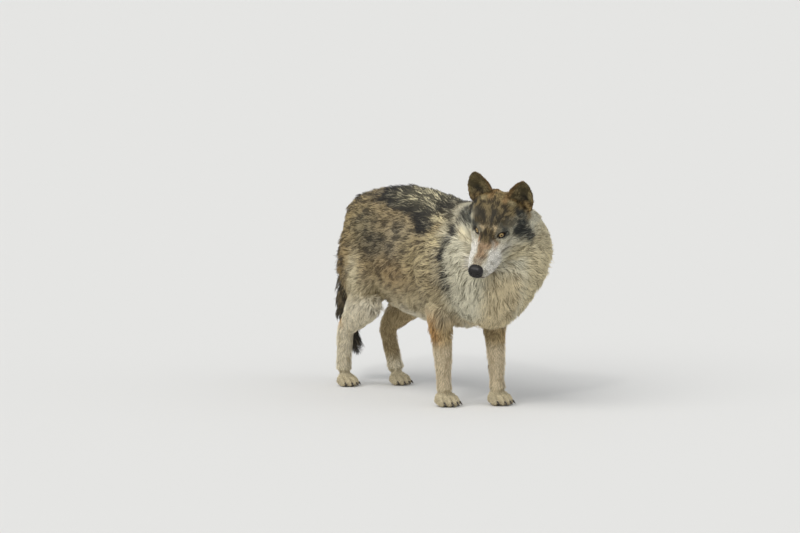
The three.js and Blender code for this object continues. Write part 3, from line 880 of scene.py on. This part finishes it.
def make_head_shell():
    """Skull and muzzle on a fine grid, finer still round the eyes and along the lips."""
    balls = [(from_head(mirrored(EYE, side)), EYE_RADIUS + 4.2) for _, side in SIDES]
    mesh = shell((*SKULL, "nose"), HEAD_GRID, 0.3, balls)
    smooth_out(mesh, 22)
    sink(mesh, lambda p: coat_depth(p) + 6 * blob(to_head(p), (144, 0, -58), (17, 26, 22)), 4)
    eyes = [from_head(mirrored(EYE, side)) for _, side in SIDES]

    def near_eyes(reach):
        """Whether points are nearer than that to the middle of an eye."""
        return lambda p: np.min([np.linalg.norm(p - e, axis=1) for e in eyes], 0) < reach

    def near_mouth(p):
        """Whether points are less than 9 mm above or below the lips."""
        x, _, z = to_head(p).T
        return (x > 30) & (np.abs(z - mouth_height(x)) < 9)

    refine(mesh, near_eyes(27))
    refine(mesh, near_eyes(20))
    refine(mesh, near_mouth)
    turned = normals_of(mesh) @ HEAD_TURN
    local = sculpt_face(to_head(points_of(mesh)), turned)
    set_points(mesh, from_head(open_eyes(local)))
    return mesh


def make_ear_shell():
    """Both ears: thin, so on a finer grid and hardly sunk, with their roots drawn into the head."""
    mesh = shell(EARS, EAR_GRID, 0.2)
    smooth_out(mesh, 5)
    sink(mesh, lambda points: np.full(len(points), 0.9), 2)
    points = points_of(mesh)
    height = np.linalg.norm(points - nearest_on(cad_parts["head"], points), axis=1)
    inwards = unit(from_head(np.array([-60.0, 0.0, -30.0])) - points)
    set_points(mesh, points + inwards * (20 * smooth(16, 0, height))[:, None])
    return mesh


def make_foot_shell():
    """The four feet on a fine grid; above the ankles they pass inside the legs."""
    mesh = shell(FEET, FOOT_GRID, 0.4)
    smooth_out(mesh, 4)
    sink(mesh, lambda points: coat_depth(points) + 3 * smooth(72, 100, points[:, 2]), 3)
    points = points_of(mesh)
    points[:, 2] = np.maximum(points[:, 2], 0.0)
    set_points(mesh, points)
    return mesh


def make_body_shell():
    """Trunk, neck, legs and tail, and inside their own shells feet and skull, which fill it out.

    Its muzzle is drawn to about half its size towards the eyes, so that the head's shell covers it.
    """
    mesh = shell(TRUNK + FEET + SKULL, BODY_GRID, 0.5)
    smooth_out(mesh, 20)

    def depth(points):
        """The coat's depth, and more where a finer shell lies over this one."""
        forwards = to_head(points)[:, 0]
        face = smooth(-70, -30, forwards) * smooth(50, 0, forwards) * regions(points)["head"]
        return coat_depth(points) + 9 * face + 3 * smooth(84, 60, points[:, 2])

    sink(mesh, depth, 6)
    local = to_head(points_of(mesh))
    muzzle_root = [-10.0, 0.0, -58.0]
    drawn = muzzle_root + (local - muzzle_root) * [0.5, 0.45, 0.45]
    muzzle = smooth(10, 60, local[:, 0]) * smooth(120, 90, np.linalg.norm(local - [70, 0, -58], axis=1))
    set_points(mesh, from_head(local + (drawn - local) * muzzle[:, None]))
    return mesh


def join_shells(*shells):
    """The shells as one, without what lies inside."""
    pieces = []
    for mesh in shells:
        piece = bpy.data.objects.new("shell", mesh)
        bpy.context.scene.collection.objects.link(piece)
        pieces.append(piece)
    for other in pieces[1:]:
        union = pieces[0].modifiers.new("union", "BOOLEAN")
        union.operation = "UNION"
        union.solver = "MANIFOLD"
        union.object = other
    mesh = applied(pieces[0])
    for other in pieces[1:]:
        bpy.data.objects.remove(other)
    return mesh


def make_skin(material):
    """The joined shells, in the markings' colours darkened by painted shade, as the coat is shaded deep down
    near the hair's roots.
    """
    mesh = join_shells(make_body_shell(), make_head_shell(), make_ear_shell(), make_foot_shell())
    points = points_of(mesh)
    pale, dark, share = markings(points, normals_of(mesh))
    # painted shade: the markings darkened, more where the hair is dark-tipped, for the shade deep in the
    # coat
    deep = pale * 0.62 + (dark * 0.8 - pale * 0.62) * (0.25 + 0.6 * share)[:, None]
    local = to_head(points)
    for _, side in SIDES:
        near = smooth(1.2, 0.95, beyond_lids(local, side, 1.4))
        deep += (linear("#17110e") - deep) * near[:, None]
    set_colours(mesh, "markings_with_painted_shade", deep)
    return show("skin", mesh, material, TRUNK + FEET + SKULL + EARS)


# ---------------------------------------------------------------- grids
def closed_grid(rows, columns):
    """Faces of a grid of points whose columns run round; the end rows may shrink to a point."""
    r, c = np.meshgrid(np.arange(rows - 1), np.arange(columns), indexing="ij")
    a = r * columns + c
    b = r * columns + (c + 1) % columns
    return np.stack([a, b, b + columns, a + columns], -1).reshape(-1, 4)


def tidy(mesh):
    """Merges points that share a place and turns all faces outwards."""
    shape = bmesh.new()
    shape.from_mesh(mesh)
    bmesh.ops.remove_doubles(shape, verts=shape.verts, dist=1e-6)
    bmesh.ops.dissolve_degenerate(shape, edges=shape.edges, dist=1e-7)
    bmesh.ops.recalc_face_normals(shape, faces=shape.faces)
    shape.to_mesh(mesh)
    shape.free()
    return mesh


# ---------------------------------------------------------------- eyes, lids, nose and claws
def make_eye(word, side, material):
    """A ball whose radius swells by 0.9 exp(-(angle / 0.62)^4) to the cornea round its gaze.

    Rings round the gaze carry the colours of pupil, iris with its radial fibres, and the white's rim.
    """
    centre, along, across, gaze = eye_frame(side)
    rows, columns = 61, 72
    angle = np.linspace(0, math.pi, rows)[:, None]
    turn = np.linspace(0, 2 * math.pi, columns, endpoint=False)[None, :]
    bulge = EYE_RADIUS - 0.35 + 0.9 * np.exp(-((angle / 0.62) ** 4))
    ring = np.sin(angle) * bulge
    points = (
        (np.cos(angle) * bulge)[..., None] * gaze
        + (ring * np.cos(turn))[..., None] * along
        + (ring * np.sin(turn))[..., None] * across
    ).reshape(-1, 3)
    mesh = tidy(mesh_from("eye", from_head(centre + points), closed_grid(rows, columns)))
    ray = unit(to_head(points_of(mesh)) - centre)
    theta = np.arccos(np.clip(ray @ gaze, -1, 1))
    phi = np.arctan2(ray @ across, ray @ along)
    fibres = 0.5 + 0.5 * np.sin(phi * 37 + 2.5 * np.sin(phi * 11)) * np.sin(phi * 23 + 1.3)
    pupil, iris = 0.20, 0.64  # angles from the gaze where they end
    t = np.clip((theta - pupil) / (iris - pupil), 0, 1)
    inner, outer = linear("#b39b6b"), linear("#8a7145")
    colour = inner + (outer - inner) * t[:, None]
    colour = colour * (0.75 + 0.4 * fibres)[:, None]
    colour = colour + (linear("#2c1e10") - colour) * smooth(0.78, 1.0, t)[:, None]
    colour = colour + (linear("#4a3826") - colour) * smooth(0.65, 0.71, theta)[:, None]
    colour = colour + (linear("#020202") - colour) * smooth(0.25, 0.20, theta)[:, None]
    set_colours(mesh, "iris_colour", colour)
    return show(f"eyeball_{word}", mesh, material, [f"eye_{word}"])


def make_lids(word, side, material):
    """A ring round the almond opening: it starts inside the ball, swells to a rim and dives under the skin.

    Its inner edge is at (cos t, sin t ^1.5) times the opening's half sizes and its outer edge 2.6 to 3.8 mm
    further out. At share v of the way across, its height over the ball is 3.4 sin(1.15 pi v)^0.6 - 0.8.
    """
    centre, along, across, gaze = eye_frame(side)
    rows, columns = 13, 96
    turn = np.linspace(0, 2 * math.pi, columns, endpoint=False)[None, :]
    v = np.linspace(0, 1, rows)[:, None]
    height = np.where(np.sin(turn) > 0, LID_UPPER, LID_LOWER)
    a = LID_HALF_LENGTH * np.cos(turn)
    b = height * np.sign(np.sin(turn)) * np.abs(np.sin(turn)) ** 1.5
    width = 2.6 + 1.2 * np.cos(turn) ** 2
    a = a + width * v * np.cos(turn)
    b = b + width * v * np.sin(turn)
    lift = EYE_RADIUS - 0.8 + 3.4 * np.sin(np.pi * np.minimum(v * 1.15, 1)) ** 0.6
    reach = np.hypot(a, b)
    angle = reach / EYE_RADIUS
    points = (
        (np.cos(angle) * lift)[..., None] * gaze
        + (np.sin(angle) * lift * a / reach)[..., None] * along
        + (np.sin(angle) * lift * b / reach)[..., None] * across
    )
    under = points * ((EYE_RADIUS - 1.6) / np.linalg.norm(points, axis=-1, keepdims=True))
    rings = np.concatenate([points, under[::-1]], 0)
    rings = np.concatenate([rings, rings[:1]], 0).reshape(-1, 3)
    mesh = tidy(mesh_from("lids", from_head(centre + rings), closed_grid(2 * rows + 1, columns)))
    return show(f"eyelids_{word}", mesh, material)


def make_nose(material):
    """Rings |y / width|^2.5 + |z / height|^2.5 = 1 along the muzzle, their sizes straight between stations.

    Nostrils, their slits and the groove below are bell-shaped dents along the normals.
    """
    stations = np.array(
        [
            # forwards, middle height, half width, up, down
            [110, -53, 17, 12, 13],
            [118, -53, 20.5, 14.5, 16],
            [126, -55, 24, 17.2, 18.6],
            [133, -57, 25, 18, 19.4],
            [139, -59, 23.4, 16.4, 18],
            [143, -60, 19, 13, 15],
            [145.6, -60.5, 12, 8, 10],
            [146.4, -60.8, 0.01, 0.01, 0.01],
        ]
    )
    rows, columns = 64, 96
    place = np.linspace(0, len(stations) - 1, rows)
    x, mid, wide, up, down = (np.interp(place, range(len(stations)), c) for c in stations.T)
    turn = np.linspace(0, 2 * math.pi, columns, endpoint=False)
    c, s = np.cos(turn), np.sin(turn)
    power = 2 / 2.5
    across = np.sign(c) * np.abs(c) ** power
    level = np.sign(s) * np.abs(s) ** power
    high = np.where(s > 0, up[:, None], down[:, None])
    points = np.stack(
        [
            np.repeat(x[:, None], columns, 1),
            wide[:, None] * across,
            mid[:, None] + high * level,
        ],
        -1,
    ).reshape(-1, 3)
    points = np.concatenate([[[108, 0, -54]], points])  # a point closes the back
    faces = closed_grid(rows, columns) + 1
    mesh = mesh_from("nose", from_head(points), faces)
    shape = bmesh.new()
    shape.from_mesh(mesh)
    shape.verts.ensure_lookup_table()
    for k in range(columns):
        shape.faces.new([shape.verts[0], shape.verts[1 + (k + 1) % columns], shape.verts[1 + k]])
    shape.to_mesh(mesh)
    shape.free()
    tidy(mesh)
    local = relaxed(to_head(points_of(mesh)), edges_of(mesh), 6, 0.5, 0.5)
    normals = normals_of(mesh) @ HEAD_TURN
    m = local * [1, 0, 1] + np.abs(local) * [0, 1, 0]
    dent = 7.5 * blob(m, (144, 11.5, -58), (8, 4.6, 4.4))
    dent += 4.0 * blob(m, (136, 21, -62), (8, 4.5, 2.6))
    dent += 2.2 * blob(m, (146, 0, -68), (9, 1.3, 11))
    dent -= 1.4 * blob(m, (142, 19, -54), (6, 5, 5))
    local -= normals * dent[:, None]
    set_points(mesh, from_head(local))
    return show("nose_leather", mesh, material, ["nose"])


def make_claws(end, word, material):
    """The four claws of a paw: copies of the CAD claws, merged and rounded by subdivision."""
    names = [f"claw_{end}_{word}_{i}" for i in range(1, 5)]
    whole = bmesh.new()
    for name in names:
        whole.from_mesh(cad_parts[name].data)
    bmesh.ops.remove_doubles(whole, verts=whole.verts, dist=1e-6)
    mesh = bpy.data.meshes.new("claws")
    whole.to_mesh(mesh)
    whole.free()
    piece = bpy.data.objects.new("claws", mesh)
    bpy.context.scene.collection.objects.link(piece)
    rounding = piece.modifiers.new("rounding", "SUBSURF")
    rounding.levels = rounding.render_levels = 2
    mesh = applied(piece)
    return show(f"claws_{end}_{word}", mesh, material, names)


# ---------------------------------------------------------------- coat
def lie_of_coat(points, normals):
    """The way hair points: away from the nose on the head, back and down on the body, down legs and tail.

    The ways are blended by the regions' weights, and the part along the skin's normal is taken off.
    """
    r = regions(points)
    local = to_head(points)
    from_nose = unit(local - [120, 0, -50])
    from_nose = unit(from_nose + np.array([0, 0, -0.25]) * (np.abs(local[:, 1:2]) / 90))
    outer = np.sign(local[:, 1]) * (0.16 + 0.5 * np.clip(ear_chart(local)[0], -1, 1))
    up_ear = unit(np.stack([-0.15 * np.ones(len(points)), outer, np.ones(len(points))], 1))
    from_nose = unit(from_nose + (up_ear - from_nose) * r["ear"][:, None])
    head_way = from_nose @ HEAD_TURN.T
    body_way = np.tile([-1.0, 0.0, -0.42], (len(points), 1))
    body_way[:, 2] -= 0.5 * smooth(420, 300, points[:, 2])
    outward = unit(points - from_head(np.array([[60.0, 0.0, -60.0]])))
    neck_way = unit(outward + np.array([-0.2, 0.0, -0.75]))
    leg_way = np.tile([-0.12, 0.0, -1.0], (len(points), 1))
    tail_way = np.tile([-0.1, 0.0, -1.0], (len(points), 1))
    way = unit(body_way)
    others = {"neck": neck_way, "fore": leg_way, "hind": leg_way, "tail": tail_way, "head": head_way}
    for part, other in others.items():
        way = unit(way + (other - way) * r[part][:, None])
    way = way - (way * normals).sum(1, keepdims=True) * normals
    return unit(way)


def coat_style(points, normals):
    """Length, width, rise of the tip over the skin, and tufts per square centimetre."""
    r = regions(points)
    local = to_head(points)
    lx, _, lz = local.T
    inside = ear_hollow(local, normals @ HEAD_TURN)
    z = points[:, 2]
    thigh = smooth(400, 170, z) * smooth(-90, -140, points[:, 0])
    short = np.maximum(r["fore"] * smooth(330, 200, z), thigh)
    length = LENGTH["trunk"] + 8 * smooth(520, 640, z)
    length += (LENGTH["neck"] - length) * r["neck"]
    length += (LENGTH["legs"] - length) * short
    length += (LENGTH["tail"] - 16 * smooth(130, 90, z) - length) * r["tail"]
    length = np.where(z < 60, np.minimum(length, 6 + 0.1 * z), length)
    length += (LENGTH["cheeks"] - length) * r["head"]
    face = LENGTH["face"] + 6 * smooth(60, -30, lx) + 9 * smooth(-20, -80, lx)
    for _, side in SIDES:
        far, a, b = eye_chart(local, side)
        face += (5.0 - face) * smooth(12, 4, np.hypot(a, b) - 14) * smooth(44, 30, far)
    length += (face - length) * r["face"]
    nape = np.minimum(1.8 * blob(local, (-118, 0, 64), (46, 84, 44)), 1)
    length += (LENGTH["nape"] - length) * nape
    length += (17 - length) * r["ear_root"] * (1 - r["ear"])
    length += (LENGTH["ear"] + 9 * inside * smooth(130, 80, lz) - length) * r["ear"]
    rise = coat_depth(points) * 1.05 + 1.5 * short
    rise += 5 * blob(local, (-72, 0, 66), (34, 50, 34)) * (1 - r["ear"])
    rise += (8 - rise) * np.minimum(1.6 * blob(local, (-124, 0, 70), (40, 84, 40)), 1)
    rise += (3.4 + 3 * inside - rise) * r["ear"]
    width = np.clip(0.045 * length + 0.75, 0.9, 3.0)
    number = np.full(len(z), TUFTS["trunk"])
    weights = {"neck": r["neck"], "legs": short, "tail": r["tail"]}
    weights |= {"cheeks": r["head"], "face": r["face"], "ear": r["ear"]}
    for part, weight in weights.items():
        number += (TUFTS[part] - number) * weight
    return length, width, rise, number


def scatter(mesh):
    """Places on the skin, thickly or thinly as the coat asks, with the skin's normals there.

    The tufts due on the triangles are added up in turn, one place is drawn in each step of one of that
    sum, and it lands evenly on its triangle.
    """
    mesh.calc_loop_triangles()
    corners = np.empty(len(mesh.loop_triangles) * 3, np.int32)
    mesh.loop_triangles.foreach_get("vertices", corners)
    corners = corners.reshape(-1, 3)
    points, normals = points_of(mesh), normals_of(mesh)
    a, b, c = (points[corners[:, k]] for k in range(3))
    area = np.linalg.norm(np.cross(b - a, c - a), axis=1) / 2
    facing = unit(sum(normals[corners[:, k]] for k in range(3)))
    number = coat_style((a + b + c) / 3, facing)[3] * area / 100
    total = np.cumsum(number)
    wanted = np.arange(int(total[-1])) + chance.random(int(total[-1]))
    pick = np.searchsorted(total, np.minimum(wanted, total[-1] - 1e-6))
    u, v = chance.random((2, len(pick)))
    flip = u + v > 1
    u, v = np.where(flip, 1 - u, u), np.where(flip, 1 - v, v)
    w = 1 - u - v

    def mix(rows):
        """Values at the places, from those at the corners of their triangles."""
        return (
            rows[corners[pick, 0]] * w[:, None]
            + rows[corners[pick, 1]] * u[:, None]
            + rows[corners[pick, 2]] * v[:, None]
        )

    return mix(points), unit(mix(normals))


def keep_clear(points):
    """False where no hair grows: soles, nose, mouth, and the rims of the eyes."""
    local = to_head(points)
    ok = points[:, 2] > 5
    nose = np.linalg.norm((local - [134, 0, -58]) / [18, 27, 22], axis=1)
    ok &= nose > 1
    mouth = np.abs(local[:, 2] - mouth_height(local[:, 0]))
    ok &= ~((mouth < 3.2) & (local[:, 0] > 44))
    for _, side in SIDES:
        ok &= beyond_lids(local, side, 1.2) > 1
    return ok


def tuft_mesh(name, skin, roots, normals, way, style, gather, colours, patches):
    """Curved three-sided blades, closed at the root and pointed at the tip.

    At share s of its length a blade is over the skin's place nearest to root + way * reach * s, raised by
    height * (1 - (1 - s)^1.8), bent sideways by bend * s^2 and drawn to its lock's middle by gather * s^1.4.
    It narrows to its tip as 1 - 0.62 s^1.4, and nothing of it is lower than 0.3 mm over the floor.
    """
    n = len(roots)
    length, width, height = style
    height = np.minimum(height, 0.7 * length)
    reach = np.sqrt(np.maximum(length**2 - height**2, 1))
    side = np.cross(normals, way)
    bend = (chance.random(n) - 0.5) * 0.4 * length
    thick = np.maximum(0.42 * width, 0.5)
    rings = []
    for s in (*BLADE_LEVELS, 1.0):
        flat = roots + way * (reach * s)[:, None] + side * (bend * s * s)[:, None] + gather * s**1.4
        if s > 0:
            shift = nearest_on(skin, flat) - flat
            far = np.maximum(np.linalg.norm(shift, axis=1), 1e-6)
            flat += shift * np.minimum(0.95, 0.42 * reach * s / far)[:, None]
        middle = flat + normals * (height * (1 - (1 - s) ** 1.8) - BLADE_ROOT)[:, None]
        if s == 1.0:
            rings.append(middle[:, None])
            break
        w = width * (1 - 0.62 * s**1.4) * (0.75 + 0.6 * s * (1 - s)) / 2
        t = thick * (1 - 0.5 * s)
        left = middle - side * w[:, None]
        right = middle + side * w[:, None]
        ridge = middle + normals * t[:, None]
        rings.append(np.stack([left, right, ridge], 1))
    points = np.concatenate(rings, 1)
    points[..., 2] = np.maximum(points[..., 2], 0.3)
    per = points.shape[1]
    faces = [[0, 2, 1]]
    for k in range(len(BLADE_LEVELS) - 1):
        for a, b in ((0, 1), (1, 2), (2, 0)):
            low, high = 3 * k, 3 * k + 3
            faces += [[low + a, low + b, high + b], [low + a, high + b, high + a]]
    last = 3 * len(BLADE_LEVELS) - 3
    faces += [[last + a, last + b, per - 1] for a, b in ((0, 1), (1, 2), (2, 0))]
    faces = np.array(faces)
    faces = (np.arange(n)[:, None, None] * per + faces).reshape(-1, 3)
    mesh = bpy.data.meshes.new(name)
    mesh.vertices.add(n * per)
    mesh.loops.add(len(faces) * 3)
    mesh.polygons.add(len(faces))
    mesh.loops.foreach_set("vertex_index", faces.astype(np.int32).ravel())
    mesh.polygons.foreach_set("loop_start", np.arange(0, len(faces) * 3, 3, dtype=np.int32))
    set_points(mesh, points.reshape(-1, 3))
    mesh.validate()
    shares = np.append(np.repeat(BLADE_LEVELS, 3), 1.0)
    # each tuft's colour runs from its root, darkened as painted shade of the deep coat, through its middle
    # band to its tip
    root, middle, end = colours
    t = shares[None, :, None]
    colour = np.where(
        t < 0.5,
        root[:, None] + (middle[:, None] - root[:, None]) * np.minimum(t / 0.4, 1),
        middle[:, None] + (end[:, None] - middle[:, None]) * np.clip((t - 0.45) / 0.27, 0, 1),
    )
    set_colours(mesh, "hair_colour_with_root_shade", colour.reshape(-1, 3))
    around = np.append(np.tile([-1.0, 1.0, 0.0], len(BLADE_LEVELS)), 0.0)
    spots = patches[:, None, :] + np.stack([around, 2 * shares - 1], 1)[None] * PATCH_HALF
    layer = mesh.uv_layers.new(name="OFBake")
    layer.data.foreach_set("uv", spots.reshape(-1, 2)[faces.ravel()].astype(np.float32).ravel())
    aside = np.append(np.tile([-0.55, 0.55, 0.0], len(BLADE_LEVELS)), 0.0)
    lean = aside[None, :, None] * side[:, None, :]
    soft = normals[:, None, :] + 0.35 * way[:, None, :] * shares[None, :, None] + lean
    mesh.shade_smooth()
    mesh.normals_split_custom_set_from_vertices(unit(soft).reshape(-1, 3).astype(np.float32))
    return mesh


COAT_PIECES = (
    "coat_face",
    "coat_ears",
    "coat_cheeks",
    "coat_neck_left",
    "coat_neck_right",
    "coat_trunk_left",
    "coat_trunk_right",
    "coat_rump_left",
    "coat_rump_right",
    "coat_fore_legs",
    "coat_hind_legs",
    "coat_tail",
)


def make_coat(skin, material):
    """All tufts: their places, lie, size and colours, and one mesh for each coat piece.

    The lie swirls a little from lock to lock. A tuft is dark where its rank in a noise drawn out along
    the hair is below the share of dark hair that the markings give half a length on from its root.
    """
    roots, normals = scatter(skin.data)
    ok = keep_clear(roots)
    roots, normals = roots[ok], normals[ok]
    n = len(roots)
    way = lie = lie_of_coat(roots, normals)
    side = np.cross(normals, way)
    swirl = (noise(roots, 70.0, 11) - 0.5) * 1.1 + (noise(roots, 22.0, 12) - 0.5) * 0.9
    swirl += chance.normal(0, 0.13, n)
    r = regions(roots)
    middle_of_lock, lock = locks(roots, 15.0, 31)
    swirl += (lock - 0.5) * 0.5
    swirl *= 1 - 0.65 * r["head"]
    way = unit(way * np.cos(swirl)[:, None] + side * np.sin(swirl)[:, None])
    length, width, height, _ = coat_style(roots, normals)
    gather = middle_of_lock - roots
    gather -= normals * (gather * normals).sum(1, keepdims=True)
    gather *= 0.75 * smooth(10, 34, length)[:, None]
    length = length * (0.74 + 0.42 * chance.random(n)) * (0.8 + 0.4 * lock)
    height = height * (0.5 + 0.75 * ((lock * 7.3) % 1.0) + 0.25 * chance.random(n))
    width = width * (0.75 + 0.5 * chance.random(n))
    pale, dark, share = markings(roots + way * (0.5 * length)[:, None], normals)
    centre = np.where(r["head"][:, None] > 0.5, HEAD_AT, [0.0, 0.0, 450.0])
    arm = roots - centre
    drawn = arm - lie * (arm * lie).sum(1, keepdims=True) * 0.72
    clump = noise(drawn, 7.0, 21) + 0.22 * noise(drawn, 15.0, 22) + 0.3 * chance.random(n)
    clump = clump.argsort().argsort() / n
    is_dark = smooth(-0.05, 0.05, share - clump)[:, None]
    tone = (0.8 + 0.22 * chance.random(n) + 0.2 * ((lock * 13.7) % 1.0))[:, None]
    end = (pale * 1.12 + (dark - pale * 1.12) * is_dark) * tone
    middle = (pale + (dark - pale) * (0.12 * share[:, None] + 0.7 * is_dark)) * tone
    # painted shade: the root colour is pale and dark hair darkened for the shade deep in the coat
    root = pale * 0.5 + (dark * 0.75 - pale * 0.5) * (0.3 + 0.5 * share)[:, None]
    parts = piece_numbers(roots, r)
    for number, name in enumerate(COAT_PIECES):
        here = parts == number
        if not here.any():
            continue
        style = (length[here], width[here], height[here])
        mesh = tuft_mesh(
            name,
            skin,
            roots[here],
            normals[here],
            way[here],
            style,
            gather[here],
            (root[here], middle[here], end[here]),
            unwrap(name, roots[here]),
        )
        show(name, mesh, material)


def piece_numbers(points, r):
    """Which of COAT_PIECES each place belongs to, by its region, and by its side on neck and trunk."""
    at = {name: number for number, name in enumerate(COAT_PIECES)}
    left = points[:, 1] > 0
    trunk = np.where(left, at["coat_trunk_left"], at["coat_trunk_right"])
    rump = np.where(left, at["coat_rump_left"], at["coat_rump_right"])
    number = np.where(points[:, 0] > -60, trunk, rump)
    left_of_neck = points[:, 1] > 25 + 0.35 * np.maximum(points[:, 0] - 330, 0)
    neck = np.where(left_of_neck, at["coat_neck_left"], at["coat_neck_right"])
    number = np.where(r["neck"] > 0.5, neck, number)
    others = {"fore": "fore_legs", "hind": "hind_legs", "tail": "tail", "head": "cheeks"}
    others |= {"face": "face", "ear": "ears"}
    for part, word in others.items():
        number = np.where(r[part] > 0.5, at[f"coat_{word}"], number)
    return number


def unwrap(name, points):
    """A cylinder's unwrap of each piece's own shape: the way round it, and the way along it."""
    x, y, z = points.T
    if name in ("coat_face", "coat_cheeks"):
        lx, ly, lz = to_head(points).T
        round_, along = np.arctan2(ly, lz + 50) / (2 * math.pi) + 0.5, (lx + 170) / 330
    elif name == "coat_ears":
        lx, ly, lz = to_head(points).T
        middle = np.where(ly > 0, 58, -50)
        turn = np.arctan2(ly - middle, lx + 95) / (2 * math.pi) + 0.5
        round_, along = np.where(ly > 0, 0.5 + turn / 2.1, turn / 2.1), (lz - 60) / 110
    elif name.endswith("legs"):
        legs = FORE_LEGS if "fore" in name else HIND_LEGS
        axis = np.where(y > 0, 82, -82)
        middle = [np.interp(z, *np.array(sorted((p[2], p[0]) for p in leg)).T) for leg in legs]
        ahead = x - np.where(y > 0, middle[1], middle[0])
        turn = np.arctan2(y - axis, ahead) / (2 * math.pi) + 0.5
        round_, along = np.where(y > 0, 0.5 + turn / 2.1, turn / 2.1), z / 340
    elif name == "coat_tail":
        middle = np.interp(z, *np.array(sorted((p[2], p[0]) for p in TAIL)).T)
        round_ = np.arctan2(y - 16, x - middle) / (2 * math.pi) + 0.5
        along = (z - 80) / 520
    elif "neck" in name:
        round_ = np.arctan2(y - 20, x - 330) / (2 * math.pi) + 0.5
        along = (z - 230) / 480
    else:
        round_ = np.arctan2(y, z - 460) / (2 * math.pi) + 0.5
        along = (x + 360) / 760
    return 0.01 + 0.98 * np.clip(np.stack([round_, along], 1), 0, 1)


# ---------------------------------------------------------------- build
hair, bare, horn = hair_material(), bare_skin_material(), horn_material()
skin = make_skin(skin_material())
wet_eye = eye_material()
for word, side in SIDES:
    make_eye(word, side, wet_eye)
    make_lids(word, side, bare)
    for end in ("fore", "hind"):
        make_claws(end, word, horn)
make_nose(bare)
make_coat(skin, hair)


# ---------------------------------------------------------------- stage, light and camera
def make_stage():
    """A plain pale floor and a soft pale sky."""
    mesh = bpy.data.meshes.new("floor")
    mesh.from_pydata([(-90, -90, 0), (90, -90, 0), (90, 90, 0), (-90, 90, 0)], [], [(0, 1, 2, 3)])
    floor = bpy.data.objects.new("floor", mesh)
    material, _, shader = new_material("pale_floor", Roughness=0.9)
    shader.inputs["Base Color"].default_value = (*linear("#d9d8d5"), 1)
    mesh.materials.append(material)
    bpy.context.scene.collection.objects.link(floor)
    world = bpy.data.worlds.new("sky")
    world.use_nodes = True
    world.node_tree.nodes["Background"].inputs["Color"].default_value = (0.93, 0.96, 1.0, 1)
    world.node_tree.nodes["Background"].inputs["Strength"].default_value = 0.55
    bpy.context.scene.world = world


def make_sun(name, towards, strength, spread, colour):
    """A soft light from far away, its disc `spread` degrees wide, so that the floor is lit evenly."""
    lamp = bpy.data.lights.new(name, "SUN")
    lamp.energy, lamp.angle, lamp.color = strength, math.radians(spread), colour
    piece = bpy.data.objects.new(name, lamp)
    piece.rotation_euler = Vector(towards).to_track_quat("Z", "Y").to_euler()
    bpy.context.scene.collection.objects.link(piece)


def make_camera():
    """A 500 mm lens nearly 36 m away, 57 degrees round from the right side to the front and 7 degrees up."""
    azimuth, elevation, distance = math.radians(57), math.radians(7), 35.85
    back = Vector(
        (
            math.sin(azimuth) * math.cos(elevation),
            -math.cos(azimuth) * math.cos(elevation),
            math.sin(elevation),
        )
    )
    right = Vector((math.cos(azimuth), math.sin(azimuth), 0))
    up = back.cross(right)
    origin = Vector(ORIGIN / 1000)
    # the middle of the frame is 51 mm left of the animal's origin and 411 mm above it
    aim = right * -0.0512 + up * 0.4112 - origin
    aim += back * origin.dot(back)
    data = bpy.data.cameras.new("camera")
    data.sensor_width, data.lens = 36, 500
    data.clip_start, data.clip_end = 1, 200
    camera = bpy.data.objects.new("camera", data)
    camera.location = aim + back * distance
    camera.rotation_euler = back.to_track_quat("Z", "Y").to_euler()
    bpy.context.scene.collection.objects.link(camera)
    bpy.context.scene.camera = camera


make_stage()
make_sun("key", (0.25, -1.0, 1.15), 2.1, 55, (1.0, 0.985, 0.96))
make_sun("fill", (1.0, 0.4, 0.5), 0.5, 80, (0.96, 0.98, 1.0))
make_sun("glint", (0.55, -0.75, 0.75), 0.3, 5, (1.0, 1.0, 1.0))
make_camera()
bpy.context.scene.view_settings.view_transform = "Standard"
